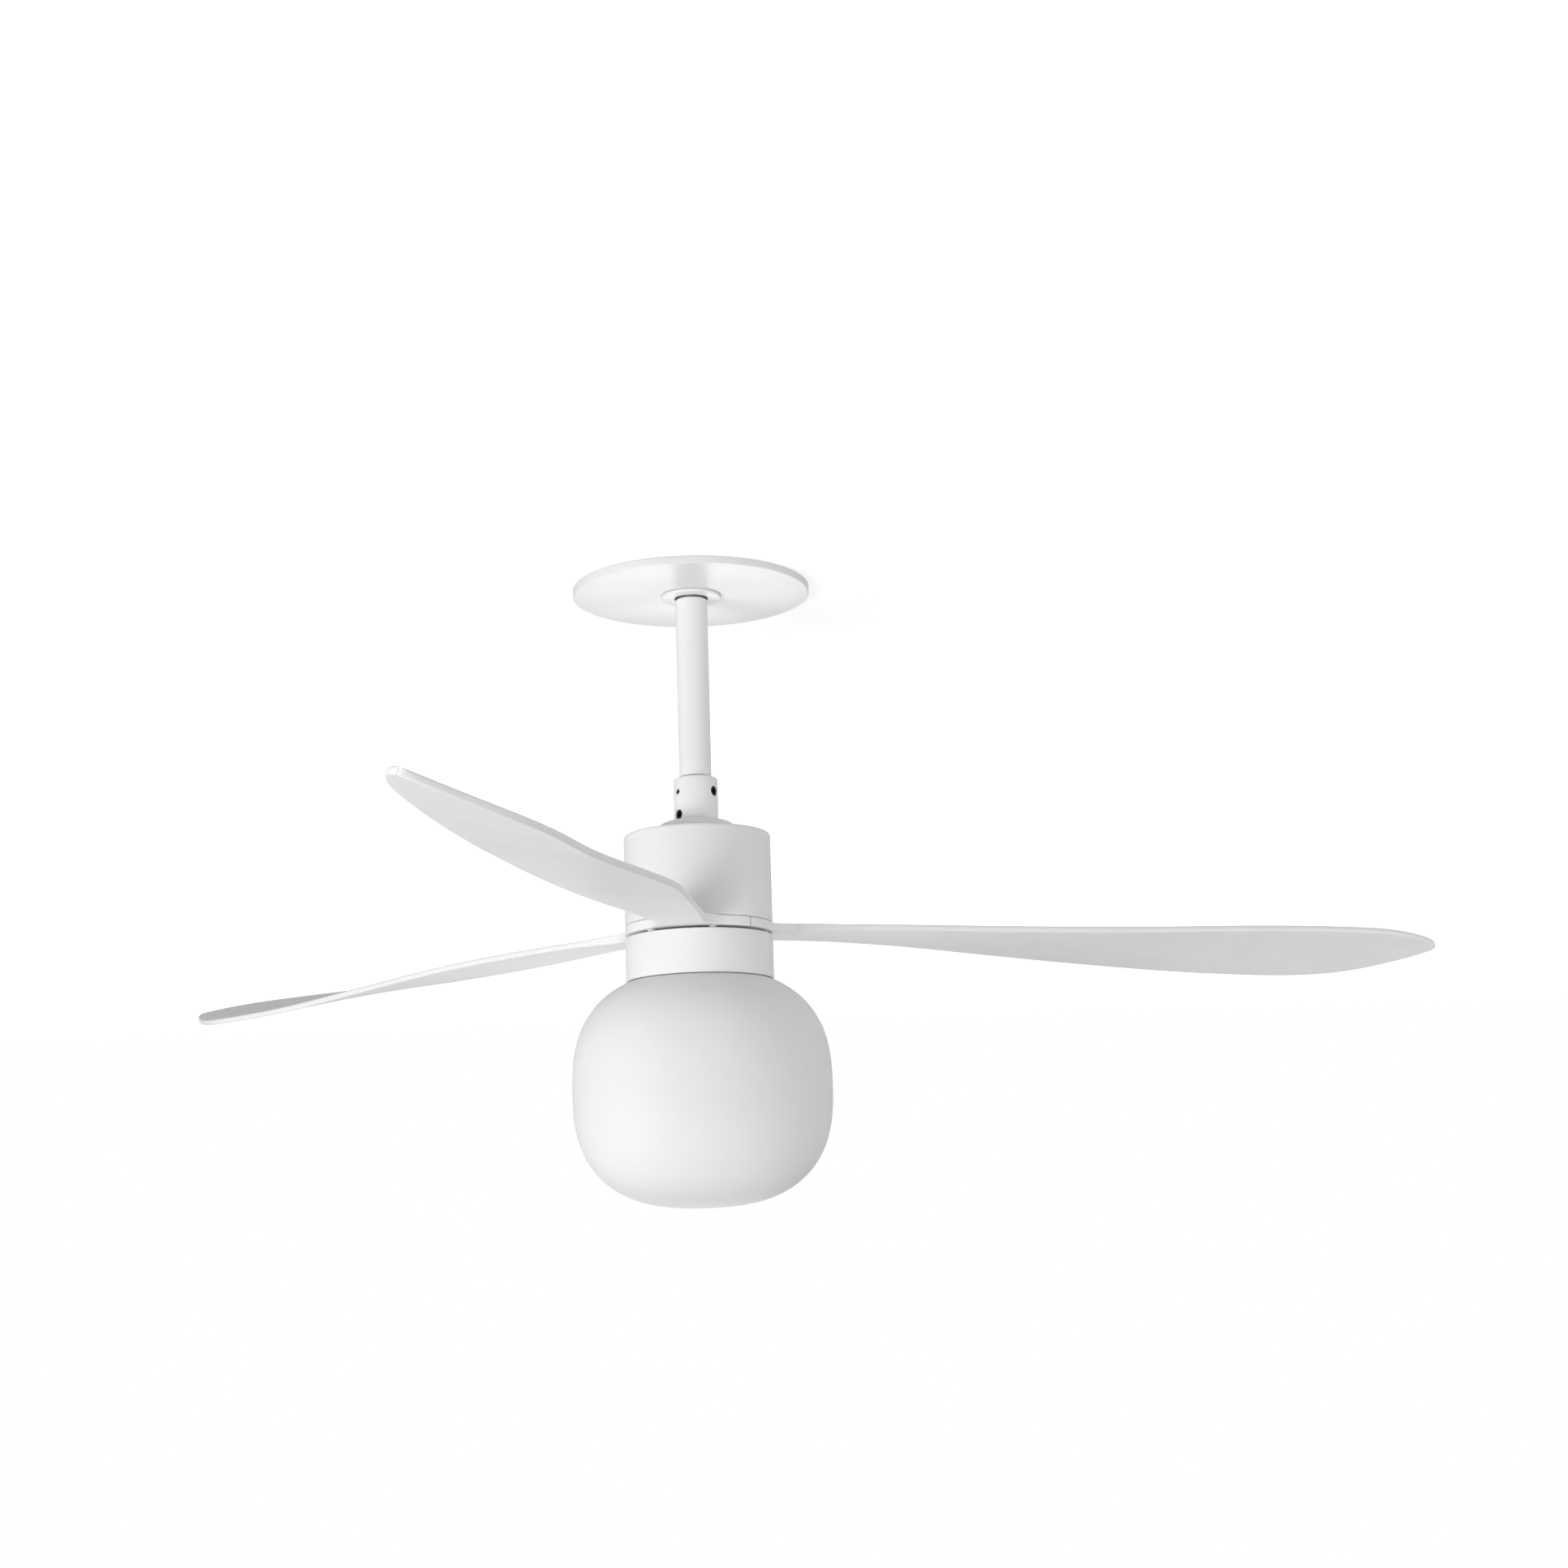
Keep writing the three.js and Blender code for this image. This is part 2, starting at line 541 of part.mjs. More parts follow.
// A blade with its wedge-shaped root, as one lofted piece lying along +X.
function blade() {
  const stations = bladeStations();
  const corner = 2;
  const loft = new THREE.CylinderGeometry(1, 1, 1, 4 * corner, stations.length - 1);
  const position = loft.attributes.position;
  const point = new THREE.Vector3();
  for (let i = 0; i < position.count; i += 1) {
    point.fromBufferAttribute(position, i);
    const x = stations[Math.round((point.y + 0.5) * (stations.length - 1))];
    const turn = Math.round((Math.atan2(point.x, point.z) / (2 * Math.PI)) * 4 * corner);
    const step = (turn + 4 * corner) % (4 * corner);
    const centred = Math.hypot(point.x, point.z) < 0.5 ? 0 : 1;
    const lead = edgeDistance(x, -1);
    const trail = edgeDistance(x, 1);
    const thinned = THREE.MathUtils.smoothstep(x, BODY_RADIUS, BODY_RADIUS + THINNING);
    const half = (ROOT_THICKNESS + (BLADE_THICKNESS - ROOT_THICKNESS) * thinned) / 2;
    const width = (lead + trail) / 2;
    const round = Math.min(x < BODY_RADIUS ? 0.7 : 0.7 + 1.1 * Math.min(1, (x - BODY_RADIUS) / 60),
      width * 0.5);
    const quarter = Math.floor(step / corner);
    const angle = degrees(quarter * 90 + (step % corner) * (90 / (corner - 1)));
    const acrossSign = quarter === 0 || quarter === 3 ? 1 : -1;
    const upSign = quarter < 2 ? 1 : -1;
    const across = centred * (acrossSign * (width - round) + round * Math.cos(angle))
      + (trail - lead) / 2;
    const up = centred * (upSign * (half - round) + round * Math.sin(angle));
    const blend = THREE.MathUtils.smoothstep(x, 55, 76);
    const place = Math.max(x, STATIONS[0]);
    const twist = degrees(along(STATIONS, TWIST, place)) * blend;
    const rise = along(STATIONS, RISE, place) * blend;
    position.setXYZ(i, x, across * Math.cos(twist) + up * Math.sin(twist),
      ROOT_MIDDLE + rise - across * Math.sin(twist) + up * Math.cos(twist));
  }
  const screws = [-1, 1].map((side) =>
    atAngle(through(BLADE_SCREW.hole, RING_BOTTOM, RING_TOP, 6),
      BLADE_SCREW_CIRCLE, degrees(side * BLADE_SCREW_SPREAD - WEDGE_SHIFT)));
  return cut(loft, through(WEDGE_INNER_RADIUS, RING_BOTTOM, RING_TOP, 24), ...screws);
}

const bladeAngles = () => circle(BLADE_COUNT, FIRST_BLADE_ANGLE);

function bladeScrewAngles() {
  return bladeAngles().flatMap((a) =>
    [-1, 1].map((side) => a + degrees(side * BLADE_SCREW_SPREAD - WEDGE_SHIFT)));
}

// ---- light kit ----
function kitHousing() {
  const edge = KIT_ROUNDING;
  const inner = BODY_RADIUS - SHEET;
  const under = KIT_TOP - KIT_SKIN;
  return turned([
    [inner, KIT_BOTTOM], [BODY_RADIUS, KIT_BOTTOM],
    ...arc(BODY_RADIUS - edge, KIT_TOP - edge, edge, 0, 90, 2),
    [SHAFT_RADIUS + GAP, KIT_TOP], [SHAFT_RADIUS + GAP, under], [inner, under],
  ], 32);
}

const kitPlateTop = KIT_TOP - KIT_SKIN - GAP;
const underKitPlate = kitPlateTop - KIT_PLATE.thickness - GAP;

function kitNut() {
  const low = underKitPlate - KIT_NUT.height;
  return cut(rod(KIT_NUT.radius, low, underKitPlate, 6),
    through(SHAFT_RADIUS + GAP, low, underKitPlate, 16));
}

// The aluminium dish behind the light-emitting board, with three posts up to the kit plate.
function heatSink() {
  const { radius, top, thickness, postCircle, postRadius } = HEAT_SINK;
  const disc = turned([[0, top - thickness], [radius, top - thickness], [radius, top], [0, top]]);
  const posts = circle(3, -90).map((a) =>
    atAngle(rod(postRadius, top - 1, underKitPlate, 8), postCircle, a));
  return join(disc, ...posts);
}

// Part of a ring between two radii, two heights and two angles in degrees.
function sector(inner, outer, low, high, from, to) {
  const shape = new THREE.Shape();
  shape.absarc(0, 0, outer, degrees(from), degrees(to), false);
  shape.absarc(0, 0, inner, degrees(to), degrees(from), true);
  return new THREE.ExtrudeGeometry(shape, { depth: high - low, bevelEnabled: false,
    curveSegments: 3 }).translate(0, 0, low);
}

// The ledge in the kit that the globe's lugs turn onto, notched to let them pass.
function bayonetRing() {
  const low = LEDGE_TOP - LEDGE_THICKNESS;
  const ledge = ring(LEDGE_INNER, BODY_RADIUS - SHEET - GAP, low, LEDGE_TOP, 24);
  const notches = circle(LUG_COUNT).map((a) =>
    sector(LEDGE_INNER - 2, NOTCH.radius, low - 2, LEDGE_TOP + 2, NOTCH.from, NOTCH.to).rotateZ(a));
  return cut(ledge, ...notches);
}

// The metal collar bonded to the glass neck, with the lugs that hold it up.
function shadeCollar() {
  const low = NECK_TOP - 5.4;
  const high = NECK_TOP - 0.4;
  const band = ring(NECK_RADIUS + GAP, LEDGE_INNER - 0.5, low, high, 32);
  const lugs = circle(LUG_COUNT).map((a) =>
    sector(NECK_RADIUS + 1, LUG.radius, LEDGE_TOP + GAP, high, -LUG.halfAngle, LUG.halfAngle)
      .rotateZ(a));
  return join(band, ...lugs);
}

// Squared-off round profile of the globe, from its lowest point up to the given radius.
function globeProfile(radius, halfHeight, neck, steps) {
  const power = 2 / GLOBE_POWER;
  const stop = Math.acos((neck / radius) ** (GLOBE_POWER / 2));
  return Array.from({ length: steps + 1 }, (_, i) => {
    const a = -Math.PI / 2 + ((Math.PI / 2 + stop) * i) / steps;
    const r = radius * Math.abs(Math.cos(a)) ** power;
    return [i === 0 ? 0 : r, GLOBE_CENTRE + Math.sign(a) * halfHeight * Math.abs(Math.sin(a)) ** power];
  });
}

function glassShade() {
  const outer = globeProfile(GLOBE_RADIUS, GLOBE_HALF_HEIGHT, NECK_RADIUS, 10);
  const inner = globeProfile(GLOBE_RADIUS - GLASS, GLOBE_HALF_HEIGHT - GLASS, NECK_RADIUS - GLASS, 8);
  return turned([
    ...outer, [NECK_RADIUS, NECK_TOP], [NECK_RADIUS - GLASS, NECK_TOP], ...inner.reverse(),
  ], 32);
}

// ---- assembly ----
add('mounting_plate', mountingPlate(), ZINC);
add('wiring_cup', wiringCup(), ZINC);
add('cable_grommet', cableGrommet(), BLACK_RUBBER);
add('terminal_block', terminalBlock(), GREY_NYLON);
circle(4, 45).forEach((a, i) => {
  const screw = socketScrew(CEILING_SCREW).translate(0, 0, -FLANGE_THICKNESS - GAP);
  add(`ceiling_screw_${i + 1}`, atAngle(screw, CEILING_SCREW_CIRCLE, a), ZINC);
});
circle(3, 0).forEach((a, i) => {
  const magnet = rod(PLATE_MAGNET_RADIUS, PLATE_BOTTOM + PLATE_SKIN + GAP,
    -FLANGE_THICKNESS - GAP, 18);
  add(`plate_magnet_${i + 1}`, atAngle(magnet, MAGNET_CIRCLE, a), STEEL);
});
add('canopy_plate', canopyPlate(), WHITE_PAINT);
add('trim_ring', trimRing(), WHITE_PAINT);

add('hanger_ball', hangerBall(), GREY_NYLON);

add('cross_pin', rod(PIN_RADIUS, -PIN_HALF_LENGTH, PIN_HALF_LENGTH, 8)
  .rotateX(Math.PI / 2).translate(0, 0, BALL_CENTRE), STEEL);
add('downrod', downrod(), ZINC);
add('downrod_sleeve', downrodSleeve(), WHITE_PAINT);
add('coupling', coupling(), WHITE_PAINT);
[UPPER_SCREWS, LOWER_SCREWS].forEach(({ z, angles }, level) => {
  const inner = (level === 0 ? ROD_RADIUS : SHAFT_RADIUS) + GAP;
  angles.forEach((angle, i) => {
    const screw = grubScrew(GRUB_SCREW, inner).translate(0, 0, z);
    add(`coupling_screw_${2 * level + i + 1}`, screw.rotateZ(degrees(angle)), BLACK_STEEL);
  });
});
add('coupling_set_screw', grubScrew(SET_SCREW, ROD_RADIUS + GAP)
  .translate(0, 0, SET_SCREW.z).rotateZ(degrees(SET_SCREW.angle)), BLACK_STEEL);

add('top_cap', topCap(), WHITE_PAINT);
circle(3, 30).forEach((a, i) => {
  const screw = socketScrew(HOUSING_SCREW).rotateX(Math.PI).translate(0, 0, HOUSING_TOP + GAP);
  add(`housing_screw_${i + 1}`, atAngle(screw, HOUSING_SCREW.circle, a), STEEL);
});
add('motor_housing', motorHousing(), WHITE_PAINT);
add('housing_bracket', housingBracket(), ZINC);
add('controller_board', ring(CONTROLLER.inner, CONTROLLER.outer,
  CONTROLLER.top - CONTROLLER.thickness, CONTROLLER.top), BOARD);
add('hollow_shaft', ring(SHAFT_BORE, SHAFT_RADIUS, SHAFT_BOTTOM, SHAFT_TOP, 20), STEEL);
add('stator_core', statorCore(), CAST);
add('stator_winding', statorWinding(), COPPER);
const bearing = (low) => ring(SHAFT_RADIUS + GAP, BEARING_RADIUS, low, low + BEARING_WIDTH, 24);
add('upper_bearing', bearing(ROTOR_TOP - BEARING_WIDTH), STEEL);
add('lower_bearing', bearing(ROTOR_BOTTOM), STEEL);

add('rotor_upper_cover', rotorCover(ROTOR_TOP, ROTOR_SPLIT), CAST);
add('rotor_lower_cover', rotorCover(ROTOR_BOTTOM, ROTOR_SPLIT), CAST);
add('magnet_ring', ring(STATOR_RADIUS + 0.8, ROTOR_RADIUS - RIM_WALL - GAP,
  ROTOR_SPLIT - MAGNET_HALF_HEIGHT, ROTOR_SPLIT + MAGNET_HALF_HEIGHT, 24), DARK_MAGNET);
add('blade_hub', bladeHub(), CAST);
bladeAngles().forEach((a, i) => add(`blade_${i + 1}`, blade().rotateZ(a), WHITE_BLADE));
bladeScrewAngles().forEach((a, i) => {
  const screw = socketScrew(BLADE_SCREW).translate(0, 0, RING_BOTTOM - GAP);
  add(`blade_screw_${i + 1}`, atAngle(screw, BLADE_SCREW_CIRCLE, a), WHITE_PAINT);
});

add('light_kit_housing', kitHousing(), WHITE_PAINT);
add('light_kit_plate', ring(SHAFT_RADIUS + GAP, KIT_PLATE.radius,
  kitPlateTop - KIT_PLATE.thickness, kitPlateTop), ZINC);
add('light_kit_nut', kitNut(), STEEL);
add('led_driver', box(DRIVER.length, DRIVER.width, DRIVER.height, 0, DRIVER.y, DRIVER.z),
  BLACK_RUBBER);
add('heat_sink', heatSink(), ALUMINIUM);
add('led_board', rod(LED_BOARD.radius, LED_BOARD.top - LED_BOARD.thickness, LED_BOARD.top, 28),
  WHITE_BOARD);
add('bayonet_ring', bayonetRing(), ZINC);

add('glass_shade', glassShade(), OPAL_GLASS);
add('shade_collar', shadeCollar(), ZINC);

export default fan;
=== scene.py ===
"""Ceiling fan with an opal globe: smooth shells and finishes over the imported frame."""
import json
import math

import bmesh
import bpy
from mathutils import Matrix, Vector

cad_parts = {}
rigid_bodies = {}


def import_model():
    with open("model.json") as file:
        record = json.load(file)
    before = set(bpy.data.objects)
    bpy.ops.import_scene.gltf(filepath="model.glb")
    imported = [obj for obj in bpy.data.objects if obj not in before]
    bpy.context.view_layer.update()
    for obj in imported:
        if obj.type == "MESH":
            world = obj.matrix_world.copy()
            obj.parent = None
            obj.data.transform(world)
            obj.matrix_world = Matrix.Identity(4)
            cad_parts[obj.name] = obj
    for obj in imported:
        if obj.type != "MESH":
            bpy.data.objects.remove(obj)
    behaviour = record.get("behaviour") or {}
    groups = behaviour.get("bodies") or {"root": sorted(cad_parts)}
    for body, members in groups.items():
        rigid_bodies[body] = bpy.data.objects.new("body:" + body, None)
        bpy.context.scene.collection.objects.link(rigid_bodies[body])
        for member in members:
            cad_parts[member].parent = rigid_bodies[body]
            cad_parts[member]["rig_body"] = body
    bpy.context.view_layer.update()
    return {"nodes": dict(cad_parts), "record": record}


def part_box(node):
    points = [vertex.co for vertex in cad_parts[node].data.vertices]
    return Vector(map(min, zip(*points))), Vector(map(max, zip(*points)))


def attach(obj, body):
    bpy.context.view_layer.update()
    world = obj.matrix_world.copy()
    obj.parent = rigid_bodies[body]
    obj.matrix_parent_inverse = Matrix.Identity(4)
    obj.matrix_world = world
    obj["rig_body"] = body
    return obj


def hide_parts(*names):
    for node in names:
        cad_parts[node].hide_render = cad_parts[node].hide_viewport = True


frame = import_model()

MM = 0.001
TAU = 2 * math.pi
SMOOTH_ANGLE = math.radians(38)
SAME_POINT = 1e-7
ON_AXIS = 1e-9
FLAT_TURN = math.radians(150)

body_of_node = {n: o["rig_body"] for n, o in frame["nodes"].items()}
slot_of_node = {s["node"]: s["material_slot"] for s in frame["record"]["subparts"]}


def low(node):
    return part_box(node)[0]


def high(node):
    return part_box(node)[1]


def heights(node):
    """Bottom and top of a CAD node, in millimetres."""
    return low(node).z / MM, high(node).z / MM


def middle_of(node):
    return (low(node) + high(node)) / 2


# ---------------------------------------------------------------- materials
class Shader:
    """A node material with a Principled shader and short helpers for its inputs."""

    def __init__(self, name, **values):
        self.material = bpy.data.materials.new(name)
        self.material.use_nodes = True
        self.tree = self.material.node_tree
        self.surface = self.tree.nodes["Principled BSDF"]
        for socket, value in values.items():
            self.surface.inputs[socket.replace("_", " ")].default_value = value
        self.place = self.tree.nodes.new("ShaderNodeTexCoord").outputs["Object"]

    def node(self, kind, **inputs):
        made = self.tree.nodes.new(kind)
        for socket, value in inputs.items():
            target = made.inputs[socket.replace("_", " ")]
            if isinstance(value, bpy.types.NodeSocket):
                self.tree.links.new(value, target)
            else:
                target.default_value = value
        return made

    def noise(self, scale, detail=3.0, stretch=None):
        vector = self.place
        if stretch:
            vector = self.node("ShaderNodeMapping", Vector=vector, Scale=stretch).outputs[0]
        made = self.node("ShaderNodeTexNoise", Vector=vector, Scale=scale, Detail=detail)
        return made.outputs["Fac"]

    def blend(self, factor, dark, light, start=0.3, end=0.7):
        ramp = self.node("ShaderNodeValToRGB", Fac=factor)
        ramp.color_ramp.elements[0].position = start
        ramp.color_ramp.elements[1].position = end
        ramp.color_ramp.elements[0].color = (*dark, 1)
        ramp.color_ramp.elements[1].color = (*light, 1)
        return ramp.outputs["Color"]

    def between(self, factor, lowest, highest):
        made = self.node("ShaderNodeMapRange", Value=factor, To_Min=lowest, To_Max=highest)
        return made.outputs["Result"]

    def add(self, a, b, share):
        scaled = self.node("ShaderNodeMath")
        scaled.operation = "MULTIPLY_ADD"
        self.tree.links.new(b, scaled.inputs[0])
        scaled.inputs[1].default_value = share
        self.tree.links.new(a, scaled.inputs[2])
        return scaled.outputs[0]

    def colour(self, socket):
        self.tree.links.new(socket, self.surface.inputs["Base Color"])

    def roughness(self, socket):
        self.tree.links.new(socket, self.surface.inputs["Roughness"])

    def bump(self, height, depth, strength=1.0):
        made = self.node("ShaderNodeBump", Height=height, Distance=depth, Strength=strength)
        self.tree.links.new(made.outputs["Normal"], self.surface.inputs["Normal"])


def grey(level, warm=0.0):
    """A grey whose blue is lower by the share given, and its green by less."""
    return (level, level * (1 - warm * 0.4), level * (1 - warm))


def powder_coat(name):
    """Satin white powder coat: a fine orange-peel skin with a few larger waves."""
    s = Shader(name, Specular_IOR_Level=0.5)
    cloud = s.noise(scale=9.0, detail=4.0)
    peel = s.noise(scale=620.0, detail=2.0)
    wave = s.noise(scale=85.0, detail=2.0)
    s.colour(s.blend(cloud, grey(0.83, 0.012), grey(0.87, 0.008)))
    s.roughness(s.between(s.noise(scale=140.0, detail=3.0), lowest=0.30, highest=0.38))
    s.bump(s.add(peel, wave, share=0.5), depth=0.00006, strength=0.35)
    return s.material


def moulded_blade(name):
    """Matt white moulded blade: fine spark-eroded grain and faint flow marks."""
    s = Shader(name, Specular_IOR_Level=0.4)
    flow = s.noise(scale=26.0, detail=4.0, stretch=(1.0, 1.0, 0.6))
    grain = s.noise(scale=1100.0, detail=2.0)
    s.colour(s.blend(flow, grey(0.835, 0.010), grey(0.865, 0.006)))
    s.roughness(s.between(s.noise(scale=210.0, detail=3.0), lowest=0.46, highest=0.56))
    s.bump(s.add(grain, flow, share=0.35), depth=0.00005, strength=0.3)
    return s.material


def etched_opal(name):
    """Satin-etched opal glass: milky white, with light carried a little way under the skin."""
    s = Shader(name, Specular_IOR_Level=0.3, IOR=1.45)
    s.surface.inputs["Subsurface Weight"].default_value = 0.3
    s.surface.inputs["Subsurface Radius"].default_value = (0.010, 0.010, 0.0095)
    s.surface.inputs["Subsurface Scale"].default_value = 1.0
    milk = s.noise(scale=14.0, detail=5.0)
    etch = s.noise(scale=1500.0, detail=2.0)
    s.colour(s.blend(milk, grey(0.825, 0.012), grey(0.855, 0.007)))
    s.roughness(s.between(s.noise(scale=320.0, detail=4.0), lowest=0.54, highest=0.64))
    s.bump(etch, depth=0.00002, strength=0.25)
    return s.material


def metal(name, dark, light, rough, scale=60.0, stretch=None, depth=0.00003):
    """Bare or plated metal with mottling, tool marks and uneven gloss."""
    s = Shader(name, Metallic=1.0)
    mottle = s.noise(scale, detail=5.0)
    marks = s.noise(scale * 9, detail=3.0, stretch=stretch)
    s.colour(s.blend(mottle, dark, light))
    s.roughness(s.between(marks, lowest=rough - 0.08, highest=rough + 0.10))
    s.bump(marks, depth, strength=0.4)
    return s.material


def plastic(name, dark, light, rough, scale=300.0, depth=0.00004):
    """Moulded plastic, rubber or board with a fine grain."""
    s = Shader(name, Specular_IOR_Level=0.4)
    grain = s.noise(scale, detail=3.0)
    s.colour(s.blend(s.noise(scale / 12, detail=4.0), dark, light))
    s.roughness(s.between(grain, lowest=rough - 0.06, highest=rough + 0.08))
    s.bump(grain, depth, strength=0.4)
    return s.material


ALONG_Z = (1.0, 1.0, 0.05)
ROUND_Z = (0.12, 0.12, 1.0)
materials = {
    "white_paint": powder_coat("white_paint"),
    "white_blade": moulded_blade("white_blade"),
    "opal_glass": etched_opal("opal_glass"),
    "zinc_steel": metal("zinc_steel", (0.50, 0.51, 0.51), (0.66, 0.66, 0.64), rough=0.38,
                        scale=45.0),
    "bright_steel": metal("bright_steel", (0.52, 0.53, 0.54), (0.64, 0.65, 0.66), rough=0.28,
                          scale=50.0, stretch=ROUND_Z),
    "black_steel": metal("black_steel", (0.018, 0.018, 0.020), (0.035, 0.035, 0.038), rough=0.42,
                         scale=90.0),
    "cast_aluminium": metal("cast_aluminium", (0.46, 0.47, 0.48), (0.60, 0.61, 0.62), rough=0.52,
                            scale=120.0, depth=0.00012),
    "core_steel": metal("core_steel", (0.24, 0.25, 0.26), (0.36, 0.37, 0.38), rough=0.45,
                        stretch=ROUND_Z),
    "copper": metal("copper", (0.50, 0.22, 0.09), (0.68, 0.34, 0.17), rough=0.36, scale=80.0,
                    stretch=ROUND_Z, depth=0.0002),
    "magnet": metal("magnet", (0.15, 0.15, 0.17), (0.22, 0.22, 0.24), rough=0.48, scale=110.0),
    "heat_sink_aluminium": metal("heat_sink_aluminium", (0.66, 0.67, 0.68), (0.76, 0.77, 0.78),
                                 rough=0.36, scale=40.0, stretch=ALONG_Z),
    "green_board": plastic("green_board", (0.03, 0.14, 0.07), (0.05, 0.20, 0.10), rough=0.42,
                           scale=500.0),
    "white_board": plastic("white_board", grey(0.80), grey(0.86), rough=0.46, scale=500.0),
    "grey_nylon": plastic("grey_nylon", grey(0.22), grey(0.27), rough=0.55),
    "black_rubber": plastic("black_rubber", grey(0.016), grey(0.026), rough=0.74, scale=260.0,
                            depth=0.0001),
    "black_plastic": plastic("black_plastic", grey(0.018), grey(0.030), rough=0.5),
}

for name, node in frame["nodes"].items():
    node.data.materials.clear()
    node.data.materials.append(materials[slot_of_node[name]])


# ---------------------------------------------------------------- mesh helpers
def stand_in(name, data, node):
    """Makes mesh data a piece that stands for its CAD node and moves with the node's body."""
    piece = bpy.data.objects.new(name, data)
    bpy.context.scene.collection.objects.link(piece)
    slot = slot_of_node[node]
    data.materials.clear()
    data.materials.append(materials[slot])
    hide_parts(node)
    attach(piece, body_of_node[node])
    return piece


def finish_piece(name, mesh, node):
    """Turns a bmesh into the piece that stands for a CAD node, smooth apart from sharp edges."""
    bmesh.ops.remove_doubles(mesh, verts=mesh.verts, dist=SAME_POINT)
    bmesh.ops.recalc_face_normals(mesh, faces=mesh.faces)
    for face in mesh.faces:
        face.smooth = True
    for edge in mesh.edges:
        if len(edge.link_faces) == 2 and edge.calc_face_angle(0) > SMOOTH_ANGLE:
            edge.smooth = False
    data = bpy.data.meshes.new(name)
    mesh.to_mesh(data)
    mesh.free()
    return stand_in(name, data, node)


def arc(r, z, radius, start, end, steps=6):
    """Points [radius, height] along part of a circle, from one angle to another in degrees."""
    angles = [math.radians(start + (end - start) * i / steps) for i in range(steps + 1)]
    return [(r + radius * math.cos(a), z + radius * math.sin(a)) for a in angles]


def softened(profile, radius, steps=3):
    """Rounds each corner of a closed profile, apart from those on the axis."""
    made = []
    count = len(profile)
    for i, corner in enumerate(profile):
        here = Vector(corner)
        before = Vector(profile[i - 1]) - here
        after = Vector(profile[(i + 1) % count]) - here
        turn = before.angle(after, math.pi) if before.length and after.length else math.pi
        if corner[0] <= ON_AXIS or turn > FLAT_TURN:
            made.append(corner)
            continue
        reach = min(radius / math.tan(turn / 2), before.length * 0.45, after.length * 0.45)
        a = here + before.normalized() * reach
        b = here + after.normalized() * reach
        for k in range(steps + 1):
            t = k / steps
            point = a * (1 - t) ** 2 + here * (2 * t * (1 - t)) + b * t ** 2
            made.append((point.x, point.y))
    return made


def lathe(profile, segments=160):
    """Turns a closed profile of (radius, height) in metres round the Z axis."""
    mesh = bmesh.new()
    rings = []
    for r, z in profile:
        if r <= ON_AXIS:
            rings.append([mesh.verts.new((0, 0, z))] * segments)
            continue
        angles = [TAU * i / segments for i in range(segments)]
        rings.append([mesh.verts.new((r * math.cos(a), r * math.sin(a), z)) for a in angles])
    for a, b in zip(rings, rings[1:] + rings[:1]):
        if len({*a, *b}) <= 2:
            continue
        for i in range(segments):
            j = (i + 1) % segments
            corners = list(dict.fromkeys([a[i], a[j], b[j], b[i]]))
            if len(corners) > 2:
                mesh.faces.new(corners)
    return mesh


def scaled(profile):
    return [(r * MM, z * MM) for r, z in profile]


def turned(name, profile, node, segments):
    """The piece for a CAD node, turned round the Z axis from a profile in millimetres."""
    return finish_piece(name, lathe(scaled(profile), segments), node)


def place(mesh, matrix):
    bmesh.ops.transform(mesh, matrix=matrix, verts=mesh.verts)
    return mesh


def turn_z(angle):
    return Matrix.Rotation(angle, 4, "Z")


def beside_axis(spot):
    """A move in the ground plane to a spot, from the Z axis."""
    return Matrix.Translation((spot.x, spot.y, 0))


def upright(radius, bottom, top, sides=48):
    """A round cutter along Z, in millimetres."""
    mesh = bmesh.new()
    bmesh.ops.create_cone(mesh, cap_ends=True, segments=sides, radius1=radius * MM,
                          radius2=radius * MM, depth=(top - bottom) * MM)
    return place(mesh, Matrix.Translation((0, 0, (top + bottom) / 2 * MM)))


def radial(radius, inner, outer, height, angle, sides=32):
    """A round cutter that lies along a spoke at the given height and angle in degrees."""
    mesh = bmesh.new()
    bmesh.ops.create_cone(mesh, cap_ends=True, segments=sides, radius1=radius * MM,
                          radius2=radius * MM, depth=(outer - inner) * MM)
    middle = Matrix.Translation(((inner + outer) / 2 * MM, 0, height * MM))
    return place(mesh, turn_z(math.radians(angle)) @ middle @ Matrix.Rotation(math.pi / 2, 4, "Y"))


def carve(piece, *cutters):
    """Cuts the cutters' meshes out of a piece and leaves plain mesh behind."""
    for number, cutter in enumerate(cutters):
        data = bpy.data.meshes.new(f"cutter_{number}")
        bmesh.ops.recalc_face_normals(cutter, faces=cutter.faces)
        cutter.to_mesh(data)
        cutter.free()
        tool = bpy.data.objects.new(f"cutter_{number}", data)
        bpy.context.scene.collection.objects.link(tool)
        change = piece.modifiers.new("cut", "BOOLEAN")
        change.operation = "DIFFERENCE"
        change.solver = "EXACT"
        change.object = tool
        graph = bpy.context.evaluated_depsgraph_get()
        result = bpy.data.meshes.new_from_object(piece.evaluated_get(graph))
        piece.modifiers.clear()
        old = piece.data
        piece.data = result
        bpy.data.meshes.remove(old)
        bpy.data.objects.remove(tool)
        bpy.data.meshes.remove(data)


def soften_shading(piece):
    """Smooths a carved piece again, apart from its sharp edges."""
    mesh = bmesh.new()
    mesh.from_mesh(piece.data)
    for face in mesh.faces:
        face.smooth = True
    for edge in mesh.edges:
        edge.smooth = not (len(edge.link_faces) == 2 and edge.calc_face_angle(0) > SMOOTH_ANGLE)
    mesh.to_mesh(piece.data)
    mesh.free()


# ---------------------------------------------------------------- turned shells
BODY = 58.0
SHEET = 1.8
GAP = 0.3

